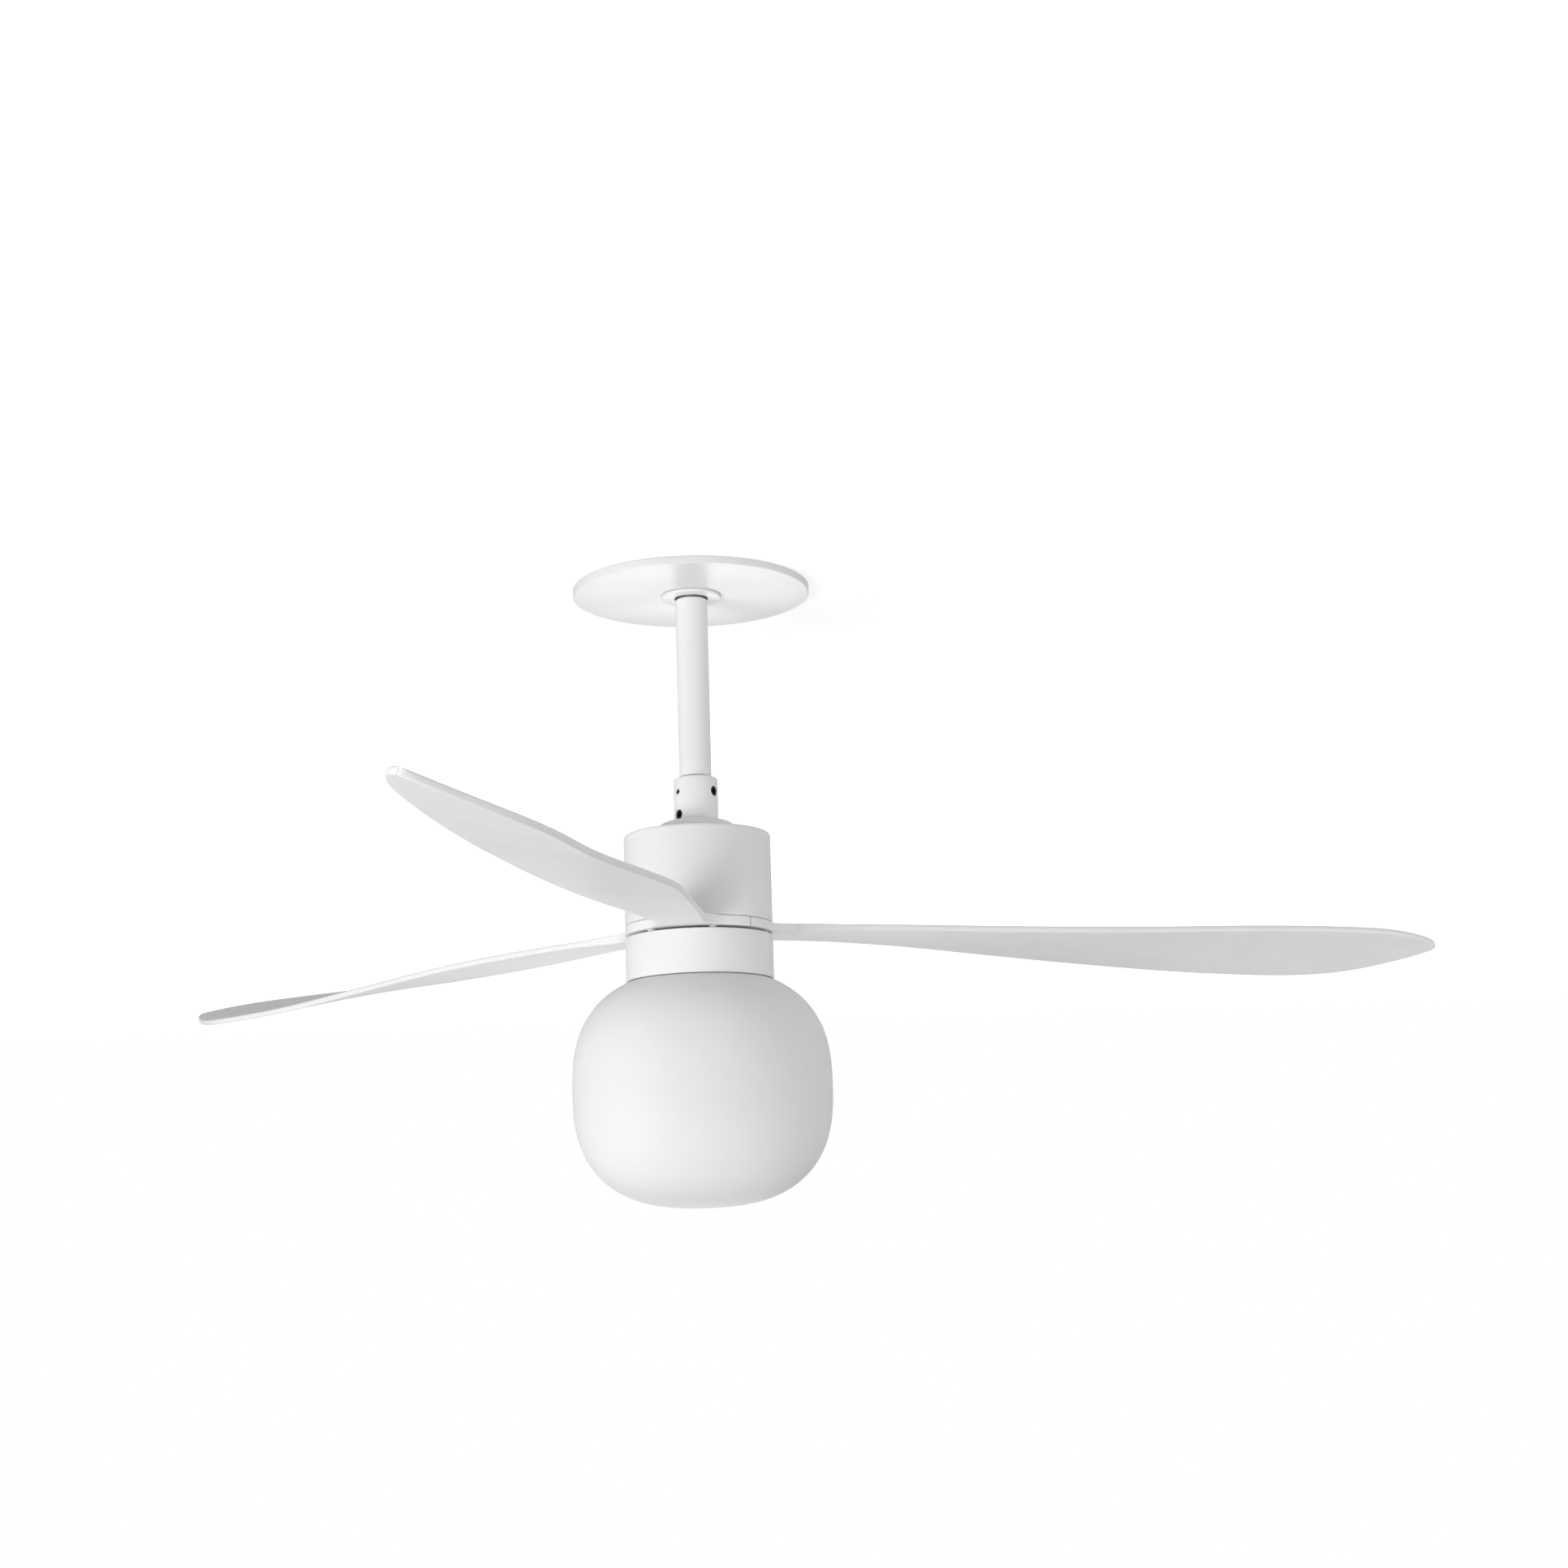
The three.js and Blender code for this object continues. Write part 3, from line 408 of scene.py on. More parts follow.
PLATE_HOLE = 21.0
PLATE_SKIN = 1.5
PLATE_ROUNDING = 0.9
plate_low, plate_high = heights("canopy_plate")
plate_radius = high("canopy_plate").x / MM
plate = softened([
    (PLATE_HOLE, plate_low), (plate_radius, plate_low), (plate_radius, plate_high),
    (plate_radius - PLATE_SKIN, plate_high), (plate_radius - PLATE_SKIN, plate_low + PLATE_SKIN),
    (PLATE_HOLE, plate_low + PLATE_SKIN),
], PLATE_ROUNDING, 5)
turned("canopy_shell", plate, "canopy_plate", 256)

TRIM_OUTER, TRIM_HOLE, TRIM_BEVEL, TRIM_CHAMFER = 24.0, 13.4, 0.8, 0.35
trim_low, trim_high = heights("trim_ring")
seat = plate_low - GAP
trim = [
    (TRIM_HOLE, trim_low + TRIM_CHAMFER), (TRIM_HOLE + TRIM_CHAMFER, trim_low),
    (TRIM_OUTER - TRIM_BEVEL, trim_low),
    *arc(TRIM_OUTER - TRIM_BEVEL, trim_low + TRIM_BEVEL, TRIM_BEVEL, -75, 0, 5),
    (TRIM_OUTER, seat), (PLATE_HOLE - GAP, seat), (PLATE_HOLE - GAP, trim_high),
    (TRIM_HOLE, trim_high),
]
turned("trim_collar", trim, "trim_ring", 160)

SLEEVE_RADIUS = 12.8
SLEEVE_INNER = 10.4
SLEEVE_EDGE = 2.0
sleeve_low, sleeve_high = heights("downrod_sleeve")
sleeve = [
    *arc(SLEEVE_RADIUS - SLEEVE_EDGE, sleeve_low + SLEEVE_EDGE, SLEEVE_EDGE, -90, 0, 8),
    *arc(SLEEVE_RADIUS - SLEEVE_EDGE, sleeve_high - SLEEVE_EDGE, SLEEVE_EDGE, 0, 90, 8),
    (SLEEVE_INNER, sleeve_high), (SLEEVE_INNER, sleeve_low),
]
turned("sleeve_tube", sleeve, "downrod_sleeve", 96)

COUPLING_RADIUS = 17.5
COUPLING_EDGE = 2.4
COUPLING_STEP = -175.1
COUPLING_CHAMFER = 0.4
SHAFT_HOLE = 7.8
ROD_HOLE = 10.3
UPPER_SCREWS = (-168.6, (-33, 147))
LOWER_SCREWS = (-187.1, (-143, 37))
SET_SCREW = (-168.6, -145)
SCREW_SEAT, SET_SCREW_SEAT = 4.1, 2.3
coupling_low, coupling_high = heights("coupling")
coupling = [
    (SHAFT_HOLE, coupling_low), (COUPLING_RADIUS - COUPLING_CHAMFER, coupling_low),
    (COUPLING_RADIUS, coupling_low + COUPLING_CHAMFER),
    *arc(COUPLING_RADIUS - COUPLING_EDGE, coupling_high - COUPLING_EDGE, COUPLING_EDGE, 0, 90, 8),
    (ROD_HOLE, coupling_high), (ROD_HOLE, COUPLING_STEP), (SHAFT_HOLE, COUPLING_STEP),
]
coupling_piece = turned("coupling_barrel", coupling, "coupling", 128)
carve(coupling_piece,
      *[radial(SCREW_SEAT, SHAFT_HOLE - 1, COUPLING_RADIUS + 3, z, a)
        for z, angles in (UPPER_SCREWS, LOWER_SCREWS) for a in angles],
      radial(SET_SCREW_SEAT, SHAFT_HOLE - 1, COUPLING_RADIUS + 3, *SET_SCREW))
soften_shading(coupling_piece)

CAP_RIM = 31.5
CAP_HOLE = COUPLING_RADIUS + GAP
CAP_SKIN = 1.4
CAP_FULLNESS = 0.7
cap_low, cap_high = heights("top_cap")


def dome(inset, steps=20):
    """The cap's falling shoulder, from its hole out to its rim."""
    width, height = CAP_RIM - inset - CAP_HOLE, cap_high - inset - cap_low
    turns = [i / steps * math.pi / 2 for i in range(steps + 1)]
    return [(CAP_HOLE + width * math.sin(a) ** CAP_FULLNESS,
             cap_low + height * max(0.0, math.cos(a)) ** CAP_FULLNESS) for a in turns]


turned("top_cap_dome", [*reversed(dome(0)), *dome(CAP_SKIN)], "top_cap", 160)


def can_wall(bottom):
    """The lower end of a thin can's wall, chamfered on both sides."""
    inner, outer = 0.3, 0.4
    return [(BODY - SHEET, bottom + inner), (BODY - SHEET + inner, bottom), (BODY - outer, bottom),
            (BODY, bottom + outer)]


for name, node, edge, steps, bore in (("motor_can", "motor_housing", 2.4, 8, 12.0),
                                      ("light_kit_can", "light_kit_housing", 1.2, 6, SHAFT_HOLE)):
    bottom, top = heights(node)
    roof = top - 2.0
    turned(name, [*can_wall(bottom), *arc(BODY - edge, top - edge, edge, 0, 90, steps),
                  (bore, top), (bore, roof), (BODY - SHEET, roof)], node, 224)

# ---------------------------------------------------------------- globe
GLOBE_RADIUS, GLOBE_HALF_HEIGHT, GLOBE_CENTRE, GLOBE_POWER = 101.0, 91.6, -402.2, 2.6
GLASS = 3.0
NECK_RADIUS = 47.0
LIP_CHAMFER = 0.6
neck_top = high("glass_shade").z / MM


def globe_profile(radius, half_height, neck, steps):
    """Squared-off round profile from the lowest point up to the neck's radius."""
    power = 2 / GLOBE_POWER
    stop = math.acos((neck / radius) ** (GLOBE_POWER / 2))
    made = []
    for i in range(steps + 1):
        a = -math.pi / 2 + (math.pi / 2 + stop) * i / steps
        r = 0.0 if i == 0 else radius * abs(math.cos(a)) ** power
        height = math.copysign(half_height * abs(math.sin(a)) ** power, a)
        made.append((r, GLOBE_CENTRE + height))
    return made


outer = globe_profile(GLOBE_RADIUS, GLOBE_HALF_HEIGHT, NECK_RADIUS, 72)
inner = globe_profile(GLOBE_RADIUS - GLASS, GLOBE_HALF_HEIGHT - GLASS, NECK_RADIUS - GLASS, 60)
lip = [(NECK_RADIUS, neck_top - LIP_CHAMFER), (NECK_RADIUS - LIP_CHAMFER, neck_top),
       (NECK_RADIUS - GLASS + LIP_CHAMFER, neck_top), (NECK_RADIUS - GLASS, neck_top - LIP_CHAMFER)]
turned("opal_globe", [*outer, *lip, *reversed(inner)], "glass_shade", 224)

# ---------------------------------------------------------------- blades
SWEEP = 660.0
BLADES = 3
FIRST_BLADE = 18.5
RING_TOP, RING_BOTTOM = -274.6, -282.0
WEDGE_INNER = 24.0
WEDGE_SHIFT = 5.0
SEAM_GAP = 1.1
NECK_FILLET, NECK_HALF, NECK_RUNOUT = 30.0, 19.3, 4.2
BLADE_SCREW_CIRCLE = 52.0
BLADE_SCREW_SPREAD = 28.0
BLADE_SCREW_HOLE = 2.2
STATIONS = (66, 120, 180, 260, 360, 470, 570, SWEEP)
HALF_CHORD = (18, 27, 34.6, 43.3, 47.4, 48.6, 43.4, 19.2)
CHORD_CENTRE = (0, -2.3, -4.1, -4.2, -8.2, -14.1, -16.6, -30)
RISE = (0.4, -0.1, -1.3, -3.9, -8, -11.9, -12.9, -13.9)
TWIST = (2.5, 2.3, 2.6, 4.7, 9.1, 14.3, 17.3, 20.8)
TIP_START = 580.0
TIP_POWER, TIP_ROOT = 2.6, 0.5
ROOT_START = 12.0
ROOT_THICKNESS = RING_TOP - RING_BOTTOM
ROOT_MIDDLE = (RING_TOP + RING_BOTTOM) / 2
TWIST_START, TWIST_WHOLE = 55, 76
BLADE_THICKNESS = 5.0
THINNING = 65.0
ROOT_EDGE, BLADE_EDGE, EDGE_RUNOUT = 0.7, 1.8, 60.0


def along(values, x):
    """Smooth curve through the values given at the stations."""
    last = len(STATIONS) - 1
    j = min(last - 1, max(0, sum(s <= x for s in STATIONS) - 1))

    def slope(k):
        a, b = max(0, k - 1), min(last, k + 1)
        return (values[b] - values[a]) / (STATIONS[b] - STATIONS[a])

    h = STATIONS[j + 1] - STATIONS[j]
    t = (x - STATIONS[j]) / h
    return ((2 * t ** 3 - 3 * t ** 2 + 1) * values[j] + (t ** 3 - 2 * t ** 2 + t) * h * slope(j)
            + (3 * t ** 2 - 2 * t ** 3) * values[j + 1] + (t ** 3 - t ** 2) * h * slope(j + 1))


def seam_angle(side):
    return math.radians(60 - side * WEDGE_SHIFT)


def corner_distance(side):
    """Place along the blade at which a root's seam face meets the outside of the ring."""
    seam = seam_angle(side)
    return BODY * math.cos(seam - math.asin(SEAM_GAP * math.cos(seam) / BODY))


def edge_distance(x, side):
    """Distance from the blade's axis to its edge: side -1 leads, side +1 trails."""
    fillet_x = math.sqrt((BODY + NECK_FILLET) ** 2 - (NECK_HALF + NECK_FILLET) ** 2)
    if x < corner_distance(side):
        return x * math.tan(seam_angle(side)) - SEAM_GAP
    if x < fillet_x * BODY / (BODY + NECK_FILLET):
        return math.sqrt(BODY ** 2 - x ** 2)
    if x < fillet_x + NECK_RUNOUT:
        return NECK_HALF + NECK_FILLET - math.sqrt(NECK_FILLET ** 2 - (x - fillet_x) ** 2)
    place_x = max(x, STATIONS[0])
    tip = max(0.0, (x - TIP_START) / (SWEEP - TIP_START))
    fullness = (1 - min(1.0, tip) ** TIP_POWER) ** TIP_ROOT
    return along(HALF_CHORD, place_x) * fullness + side * along(CHORD_CENTRE, place_x)


def spread(start, end, count):
    return [start + (end - start) * i / count for i in range(count)]


def smoothstep(x, a, b):
    t = min(1.0, max(0.0, (x - a) / (b - a)))
    return t * t * (3 - 2 * t)


def blade_stations():
    """Places along the blade, close together round its root, its neck and its tip."""
    corners = [corner_distance(1), corner_distance(-1)]
    tip = SWEEP - TIP_START
    tip_steps = 30
    return [
        *spread(ROOT_START, corners[1], 10), *spread(corners[1], corners[0], 6),
        *spread(corners[0], 51, 22), *spread(51, 80, 32), *spread(80, 180, 18),
        *spread(180, TIP_START, 40),
        *[TIP_START + tip * math.sin(math.radians(90 * i / tip_steps)) for i in range(tip_steps)],
        SWEEP - 0.25,
    ]


def blade_section(width, half, edge, quarter_steps=6, flat_steps=14):
    """A flat section with rounded edges, as points across and up from its middle."""
    section = []
    for quarter in range(4):
        across_sign = 1 if quarter in (0, 3) else -1
        up_sign = 1 if quarter < 2 else -1
        for k in range(quarter_steps + 1):
            a = math.radians(90 * (quarter + k / quarter_steps))
            section.append((across_sign * (width - edge) + edge * math.cos(a),
                            up_sign * (half - edge) + edge * math.sin(a)))
        if quarter in (0, 2):
            section += [(up_sign * (width - edge) * (1 - 2 * k / flat_steps), up_sign * half)
                        for k in range(1, flat_steps)]
    return section


def blade_mesh():
    """A blade with its wedge-shaped root, lofted along +X."""
    mesh = bmesh.new()
    loops = []
    for x in blade_stations():
        lead, trail = edge_distance(x, -1), edge_distance(x, 1)
        width = (lead + trail) / 2
        thinned = smoothstep(x, BODY, BODY + THINNING)
        half = (ROOT_THICKNESS + (BLADE_THICKNESS - ROOT_THICKNESS) * thinned) / 2
        rounding = min(1.0, max(0.0, (x - BODY) / EDGE_RUNOUT))
        edge = min(ROOT_EDGE + (BLADE_EDGE - ROOT_EDGE) * rounding, width / 2)
        blend = smoothstep(x, TWIST_START, TWIST_WHOLE)
        place_x = max(x, STATIONS[0])
        twist = math.radians(along(TWIST, place_x)) * blend
        rise = along(RISE, place_x) * blend
        loop = []
        for across, up in blade_section(width, half, edge):
            across += (trail - lead) / 2
            loop.append(mesh.verts.new((
                x * MM,
                (across * math.cos(twist) + up * math.sin(twist)) * MM,
                (ROOT_MIDDLE + rise - across * math.sin(twist) + up * math.cos(twist)) * MM)))
        loops.append(loop)
    for a, b in zip(loops, loops[1:]):
        for i in range(len(a)):
            j = (i + 1) % len(a)
            mesh.faces.new((a[i], a[j], b[j], b[i]))
    mesh.faces.new(loops[0])
    mesh.faces.new(list(reversed(loops[-1])))
    return mesh


def blade_screw_hole(side):
    hole = upright(BLADE_SCREW_HOLE, RING_BOTTOM - 2, RING_TOP + 2, 24)
    return place(hole, turn_z(math.radians(side * BLADE_SCREW_SPREAD - WEDGE_SHIFT))
                 @ Matrix.Translation((BLADE_SCREW_CIRCLE * MM, 0, 0)))


for number in range(BLADES):
    piece = finish_piece(f"blade_skin_{number + 1}", blade_mesh(), f"blade_{number + 1}")
    carve(piece, upright(WEDGE_INNER, RING_BOTTOM - 5, RING_TOP + 5, 96),
          blade_screw_hole(-1), blade_screw_hole(1))
    piece.data.transform(turn_z(math.radians(FIRST_BLADE + 360 / BLADES * number)))
    soften_shading(piece)


# ---------------------------------------------------------------- fasteners
def thread(start, turns, pitch, core, crest):
    """One side of a screw thread: narrow crests over a wider core."""
    return [point for z in (start + i * pitch for i in range(turns))
            for point in ((core, z), (crest, z + 0.35 * pitch), (crest, z + 0.5 * pitch),
                          (core, z + 0.85 * pitch))]


def screw_profile(head_radius, head_height, radius, length, pitch, point):
    """A domed head under z = 0 and a threaded shank above it, with a chamfered or pointed end."""
    crown = [(head_radius * math.sin(a), -head_height * (0.35 + 0.65 * math.cos(a)))
             for a in (math.radians(90 * i / 8) for i in range(9))]
    core = radius * 0.8
    plain = 1.0
    turns = int((length - point - plain) / pitch)
    return [*crown, (head_radius, 0), (radius, 0), (radius, 0.6),
            *thread(plain, turns, pitch, core, radius),
            (core, length - point), (core * 0.25, length), (0, length)]


def bar(width, reach, bottom, top):
    """A box cutter, in millimetres, centred on the Z axis."""
    mesh = bmesh.new()
    bmesh.ops.create_cube(mesh, size=1.0)
    shape = Matrix.Diagonal((reach * MM, width * MM, (top - bottom) * MM, 1))
    return place(mesh, Matrix.Translation((0, 0, (bottom + top) / 2 * MM)) @ shape)


def cross_recess(head_radius, head_height):
    """Cutters for a cross recess in the underside of a head."""
    width, reach = head_radius * 0.26, head_radius * 1.15
    return [place(bar(width, reach, -head_height - 1, -head_height * 0.3), turn_z(turn))
            for turn in (math.radians(20), math.radians(110))]


def socket(across, mouth, depth):
    """A cutter for a hexagon socket that opens upwards at the given height."""
    mesh = bmesh.new()
    bmesh.ops.create_cone(mesh, cap_ends=True, segments=6, radius1=across * MM,
                          radius2=across * MM, depth=(depth + 1) * MM)
    return place(mesh, Matrix.Translation((0, 0, (mouth + (1 - depth) / 2) * MM)))


def fasteners(nodes, profile, cutters, placed, segments=40):
    """Makes one screw and stands a copy of it at each node's place."""
    first = finish_piece(f"{nodes[0]}_turned", lathe(scaled(profile), segments), nodes[0])
    carve(first, *cutters)
    soften_shading(first)
    pattern = first.data.copy()
    first.data.transform(placed(nodes[0]))
    for node in nodes[1:]:
        data = pattern.copy()
        data.transform(placed(node))
        stand_in(f"{node}_turned", data, node)
    bpy.data.meshes.remove(pattern)


def head_down(head_height):
    """Places a screw with its head below, its recess turned differently at each place."""
    turn_per_metre = 900

    def placed(node):
        spot = middle_of(node)
        seat = Matrix.Translation((spot.x, spot.y, low(node).z + head_height * MM))
        return seat @ turn_z(spot.x * turn_per_metre)
    return placed


def head_up(head_height):
    """Places a screw with its head above."""
    def placed(node):
        spot = middle_of(node)
        seat = Matrix.Translation((spot.x, spot.y, high(node).z - head_height * MM))
        return seat @ Matrix.Rotation(math.pi, 4, "X")
    return placed


def along_spoke(node):
    """Places a grub screw made along Z so that it lies along its own spoke."""
    spot = middle_of(node)
    return (turn_z(math.atan2(spot.y, spot.x)) @ Matrix.Translation((0, 0, spot.z))
            @ Matrix.Rotation(math.pi / 2, 4, "Y"))


GRUB_OUTER = COUPLING_RADIUS - 0.6


def grub_profile(radius, inner, pitch):
    """A headless screw along Z with a cupped end at the inner radius."""
    core = radius * 0.9
    cup, plain = 0.9, 0.8
    turns = int((GRUB_OUTER - inner - 2 * plain) / pitch)
    return [(0, inner + cup), (radius * 0.4, inner), (core * 0.85, inner),
            *thread(inner + plain, turns, pitch, core, radius),
            (radius, GRUB_OUTER - 0.6), (radius - 0.5, GRUB_OUTER), (0, GRUB_OUTER)]


for radius, inner_end, pitch, across, depth, nodes in (
        (3.8, ROD_HOLE, 0.8, 2.0, 2.2, ("coupling_screw_1", "coupling_screw_2")),
        (3.8, SHAFT_HOLE, 0.8, 2.0, 2.2, ("coupling_screw_3", "coupling_screw_4")),
        (2.0, ROD_HOLE, 0.5, 1.0, 1.6, ("coupling_set_screw",))):
    fasteners(nodes, grub_profile(radius, inner_end, pitch), [socket(across, GRUB_OUTER, depth)],
              along_spoke)


def headed_screws(kind, count, head, head_height, placed, **shank):
    """Screws with a domed head and a cross recess, for the nodes of one kind."""
    fasteners([f"{kind}_{i}" for i in range(1, count + 1)],
              screw_profile(head, head_height, **shank), cross_recess(head, head_height),
              placed(head_height))


headed_screws("blade_screw", 6, 3.4, 1.3, head_down, radius=1.8, length=12, pitch=0.7, point=0.6)
headed_screws("housing_screw", 3, 3.2, 1.6, head_up, radius=1.6, length=6, pitch=0.6, point=0.4)
headed_screws("ceiling_screw", 4, 4.6, 1.7, head_down, radius=2.5, length=24, pitch=1.5, point=5.0)

# ---------------------------------------------------------------- ceiling side and rod
SEAT_RADIUS, SEAT_CHAMFER = 20.0, 0.8
CAN_SEAT, CAN_STEP = 48.0, 0.4
SCREW_HOLE = 2.9
flange_low, flange_high = heights("mounting_plate")
flange_radius = high("mounting_plate").x / MM
can_floor = flange_high - CAN_STEP
flange = softened([
    (SEAT_RADIUS + SEAT_CHAMFER, flange_low), (flange_radius, flange_low),
    (flange_radius, flange_high), (CAN_SEAT, flange_high), (CAN_SEAT, can_floor),
    (SEAT_RADIUS, can_floor),
], 0.35, 4)
flange_piece = turned("mounting_disc", flange, "mounting_plate", 192)
carve(flange_piece, *[
    place(upright(SCREW_HOLE, flange_low - 2, flange_high + 2, 32),
          beside_axis(middle_of(f"ceiling_screw_{i}")))
    for i in range(1, 5)])
soften_shading(flange_piece)

CAN_RADIUS, CAN_SKIN, CAN_EDGE = 45.0, 1.8, 3.0
ENTRY_RADIUS = 8.0
can_low, can_high = heights("wiring_cup")
can = [
    (CAN_RADIUS - CAN_SKIN, can_low), (CAN_RADIUS, can_low),
    *arc(CAN_RADIUS - CAN_EDGE, can_high - CAN_EDGE, CAN_EDGE, 0, 90, 10), (0, can_high),
    (0, can_high - CAN_SKIN),
    *arc(CAN_RADIUS - CAN_EDGE, can_high - CAN_EDGE, CAN_EDGE - CAN_SKIN, 90, 0, 6),
]
can_piece = turned("wiring_can", can, "wiring_cup", 160)
entry = beside_axis(middle_of("cable_grommet"))
carve(can_piece, place(upright(ENTRY_RADIUS, can_high - CAN_SKIN - 2, can_high + 2, 64), entry))
soften_shading(can_piece)

GROMMET_BORE, GROMMET_LIP, GROMMET_FLANGE = 5.0, 10.0, 1.5
grommet_low, grommet_high = heights("cable_grommet")
lower_groove, upper_groove = grommet_low + GROMMET_FLANGE, grommet_high - GROMMET_FLANGE
waist = ENTRY_RADIUS - GAP
grommet = softened([
    (GROMMET_BORE, grommet_low), (GROMMET_LIP, grommet_low), (GROMMET_LIP, lower_groove),
    (waist, lower_groove), (waist, upper_groove), (GROMMET_LIP, upper_groove),
    (GROMMET_LIP, grommet_high), (GROMMET_BORE, grommet_high),
], 0.6, 5)
finish_piece("entry_grommet", place(lathe(scaled(grommet), 96), entry), "cable_grommet")

PIN_RADIUS = 3.0
BALL_RADIUS, BALL_FLAT, BALL_BORE, BALL_CHAMFER = 26.0, 19.0, 10.9, 0.6
ball_centre = middle_of("cross_pin").z / MM
ball_turn = math.degrees(math.asin(BALL_FLAT / BALL_RADIUS))
ball_low, ball_high = ball_centre - BALL_FLAT, ball_centre + BALL_FLAT
ball = [(BALL_BORE + BALL_CHAMFER, ball_low),
        *arc(0, ball_centre, BALL_RADIUS, -ball_turn, ball_turn, 32),
        (BALL_BORE + BALL_CHAMFER, ball_high), (BALL_BORE, ball_high - BALL_CHAMFER),
        (BALL_BORE, ball_low + BALL_CHAMFER)]
through_ball = (Matrix.Translation((0, 0, ball_centre * MM))
                @ Matrix.Rotation(math.pi / 2, 4, "X"))


def pin_bore():
    """A cutter for the cross pin's hole, along Y through the ball's centre."""
    return place(upright(PIN_RADIUS + GAP, -30, 30, 48), through_ball)


ball_piece = turned("swivel_ball", ball, "hanger_ball", 128)
carve(ball_piece, pin_bore())
soften_shading(ball_piece)

ROD_RADIUS, ROD_BORE = 10.0, 7.6
rod_low, rod_high = heights("downrod")
tube = softened([(ROD_BORE, rod_low), (ROD_RADIUS, rod_low), (ROD_RADIUS, rod_high),
                 (ROD_BORE, rod_high)], 0.5, 3)
rod_piece = turned("downrod_tube", tube, "downrod", 96)
carve(rod_piece, pin_bore())
soften_shading(rod_piece)

pin_half = high("cross_pin").y / MM
pin = softened([(0, -pin_half), (PIN_RADIUS, -pin_half), (PIN_RADIUS, pin_half), (0, pin_half)],
               0.6, 4)
finish_piece("cross_pin_turned", place(lathe(scaled(pin), 48), through_ball), "cross_pin")

MAGNET_RADIUS = 6.0
for i in range(1, 4):
    node = f"plate_magnet_{i}"
    bottom, top = heights(node)
    disc = softened([(0, bottom), (MAGNET_RADIUS, bottom), (MAGNET_RADIUS, top), (0, top)], 0.5, 4)
    finish_piece(f"{node}_disc", place(lathe(scaled(disc), 64), beside_axis(middle_of(node))), node)

# ---------------------------------------------------------------- stage, light, camera
# The stage's own brightness near the fan's axis and further out: what the camera sees of it,
# and the light that it gives.
CEILING_HALF, FLOOR_HALF = 3.2, 4.5
CEILING_HOLE = 0.075
CEILING_Z, FLOOR_Z = 0.0004, -3.0
SHEET_ALBEDO = 0.4
CEILING_SEEN, FLOOR_SEEN, WORLD_SEEN = (0.705, 1.0), (1.0, 1.0), 1.0
CEILING_LIT, FLOOR_LIT, WORLD_LIT = (0.22, 0.20), (0.29, 0.29), 0.23
FADE_START, FADE_END = 0.16, 0.7


def seen_or_lit(tree, seen, lit):
    """One strength for what the camera sees of the stage, and another for all other rays."""
    path = tree.nodes.new("ShaderNodeLightPath")
    choose = tree.nodes.new("ShaderNodeMapRange")
    tree.links.new(path.outputs["Is Camera Ray"], choose.inputs["Value"])
    for end, strength in (("To Min", lit), ("To Max", seen)):
        if isinstance(strength, bpy.types.NodeSocket):
            tree.links.new(strength, choose.inputs[end])
        else:
            choose.inputs[end].default_value = strength
    return choose.outputs["Result"]


def outwards(tree, near, far):
    """A strength that changes from near the fan's axis to further out."""
    place_node = tree.nodes.new("ShaderNodeTexCoord")
    reach = tree.nodes.new("ShaderNodeVectorMath")
    reach.operation = "LENGTH"
    tree.links.new(place_node.outputs["Object"], reach.inputs[0])
    fade = tree.nodes.new("ShaderNodeMapRange")
    tree.links.new(reach.outputs["Value"], fade.inputs["Value"])
    fade.inputs["From Min"].default_value = FADE_START
    fade.inputs["From Max"].default_value = FADE_END
    fade.inputs["To Min"].default_value = near
    fade.inputs["To Max"].default_value = far
    return fade.outputs["Result"]


def stage_material(name, level, seen, lit):
    """Plain pale matt surface that is see-through from its back."""
    made = bpy.data.materials.new(name)
    made.use_nodes = True
    tree = made.node_tree
    surface = tree.nodes["Principled BSDF"]
    surface.inputs["Base Color"].default_value = (level, level, level, 1)
    surface.inputs["Roughness"].default_value = 1.0
    surface.inputs["Specular IOR Level"].default_value = 0.0
    surface.inputs["Emission Color"].default_value = (1, 1, 1, 1)
    strength = seen_or_lit(tree, outwards(tree, *seen), outwards(tree, *lit))
    tree.links.new(strength, surface.inputs["Emission Strength"])
    clear = tree.nodes.new("ShaderNodeBsdfTransparent")
    choose = tree.nodes.new("ShaderNodeMixShader")
    side = tree.nodes.new("ShaderNodeNewGeometry")
    tree.links.new(side.outputs["Backfacing"], choose.inputs["Fac"])
    tree.links.new(surface.outputs[0], choose.inputs[1])
    tree.links.new(clear.outputs[0], choose.inputs[2])
    tree.links.new(choose.outputs[0], tree.nodes["Material Output"].inputs["Surface"])
    return made


def stage_sheet(name, z, half, facing, hole, material):
    """A large flat sheet, with a round hole on the axis if a radius is given."""
    mesh = bmesh.new()
    steps = 64
    spokes = [(math.cos(TAU * i / steps), math.sin(TAU * i / steps)) for i in range(steps)]
    square = []
    for x, y in spokes:
        reach = half / max(abs(x), abs(y))
        square.append(mesh.verts.new((reach * x, reach * y, z)))
    if hole:
        inside = [mesh.verts.new((hole * x, hole * y, z)) for x, y in spokes]
        for i in range(steps):
            j = (i + 1) % steps
            mesh.faces.new((inside[i], square[i], square[j], inside[j]))
    else:
        mesh.faces.new(square)
    for face in mesh.faces:
        face.normal_update()
        if face.normal.z * facing < 0:
            face.normal_flip()
    data = bpy.data.meshes.new(name)
    mesh.to_mesh(data)
    mesh.free()
    sheet = bpy.data.objects.new(name, data)
    bpy.context.scene.collection.objects.link(sheet)
    data.materials.append(material)


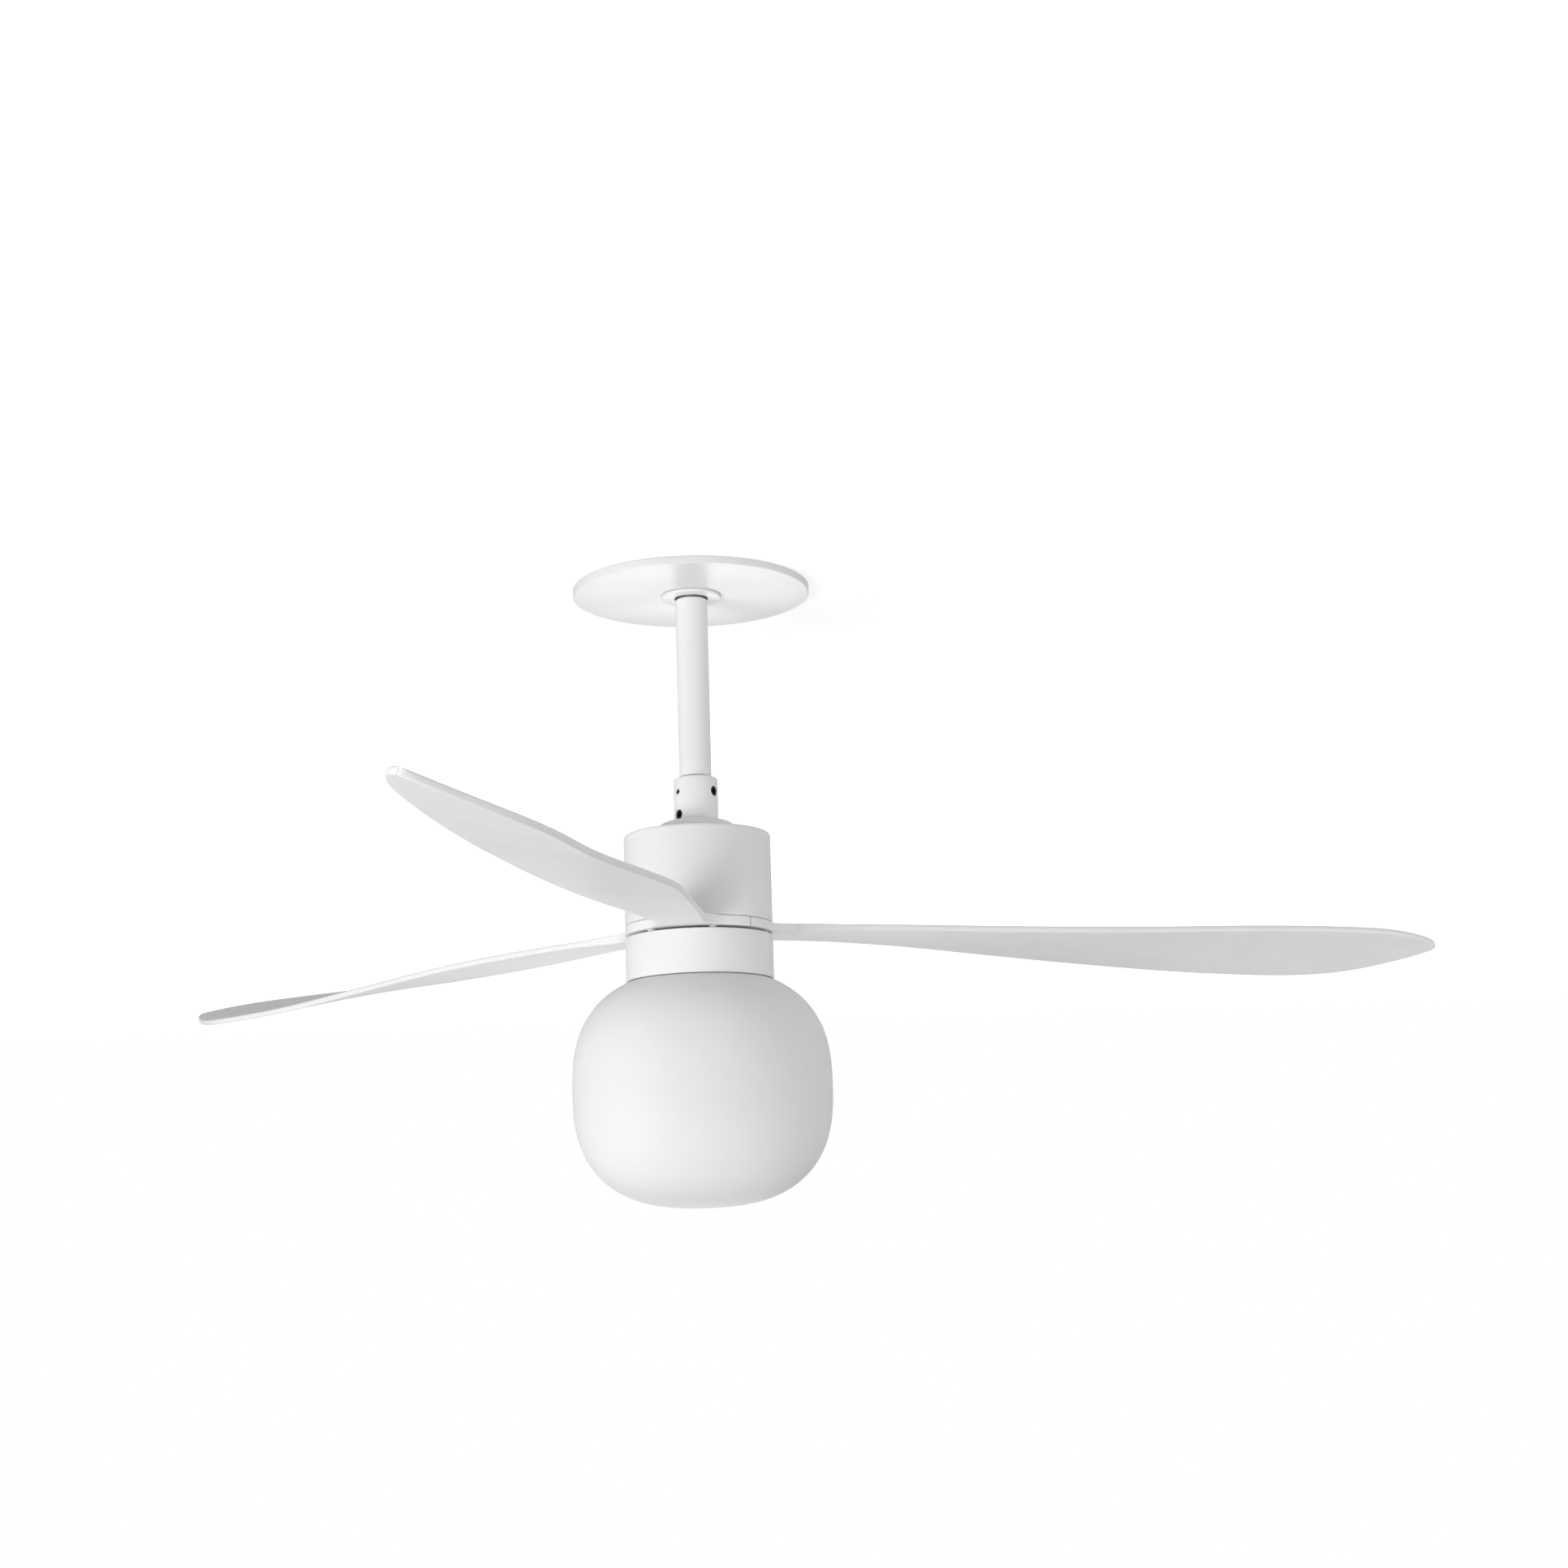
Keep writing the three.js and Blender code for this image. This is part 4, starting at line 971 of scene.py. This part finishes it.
stage_sheet("ceiling", CEILING_Z, CEILING_HALF, -1, CEILING_HOLE,
            stage_material("ceiling_white", SHEET_ALBEDO, CEILING_SEEN, CEILING_LIT))
stage_sheet("floor", FLOOR_Z, FLOOR_HALF, 1, None,
            stage_material("floor_white", SHEET_ALBEDO, FLOOR_SEEN, FLOOR_LIT))

scene = bpy.context.scene
scene.view_settings.view_transform = "Standard"
world = bpy.data.worlds.new("studio")
scene.world = world
world.use_nodes = True
tree = world.node_tree
backdrop = tree.nodes["Background"]
backdrop.inputs["Color"].default_value = (1, 1, 1, 1)
tree.links.new(seen_or_lit(tree, WORLD_SEEN, WORLD_LIT), backdrop.inputs["Strength"])


def area_light(name, place_at, size, power):
    """A square soft light that faces the fan's hub."""
    data = bpy.data.lights.new(name, "AREA")
    data.shape = "RECTANGLE"
    data.size = data.size_y = size
    data.energy = power
    lamp = bpy.data.objects.new(name, data)
    scene.collection.objects.link(lamp)
    lamp.location = place_at
    lamp.rotation_mode = "QUATERNION"
    lamp.rotation_quaternion = (HUB - lamp.location).to_track_quat("-Z", "Y")


HUB = Vector((0, 0, -0.25))
area_light("key", (-2.37, -1.99, -1.50), 1.0, 39)
area_light("left", (-1.72, -2.46, -1.34), 0.9, 19)
area_light("far_left", (-2.72, -0.99, -1.60), 0.9, 9)
area_light("front", (-0.82, -3.06, -0.70), 0.9, 9)
area_light("right", (3.04, -0.82, -0.81), 0.9, 27)
area_light("back", (0, 3.01, -1.34), 0.9, 10)

CAMERA_PLACE = Vector((0, -1.9866, -0.5687))
CAMERA_PAN, CAMERA_PITCH, CAMERA_ROLL = 0.0354, 0.2016, -0.0310
IMAGE_WIDTH, FOCUS = 1932, 3139           # both in pixels
forward = Vector((math.sin(CAMERA_PAN) * math.cos(CAMERA_PITCH),
                  math.cos(CAMERA_PAN) * math.cos(CAMERA_PITCH), math.sin(CAMERA_PITCH)))
level = Vector((math.cos(CAMERA_PAN), -math.sin(CAMERA_PAN), 0))
rise = level.cross(forward)
right = level * math.cos(CAMERA_ROLL) + rise * math.sin(CAMERA_ROLL)
up = -level * math.sin(CAMERA_ROLL) + rise * math.cos(CAMERA_ROLL)
lens = bpy.data.cameras.new("camera")
lens.sensor_width = 36
lens.lens = FOCUS / IMAGE_WIDTH * lens.sensor_width
camera = bpy.data.objects.new("camera", lens)
scene.collection.objects.link(camera)
camera.matrix_world = Matrix((
    (right.x, up.x, -forward.x, CAMERA_PLACE.x),
    (right.y, up.y, -forward.y, CAMERA_PLACE.y),
    (right.z, up.z, -forward.z, CAMERA_PLACE.z),
    (0, 0, 0, 1),
))
scene.camera = camera
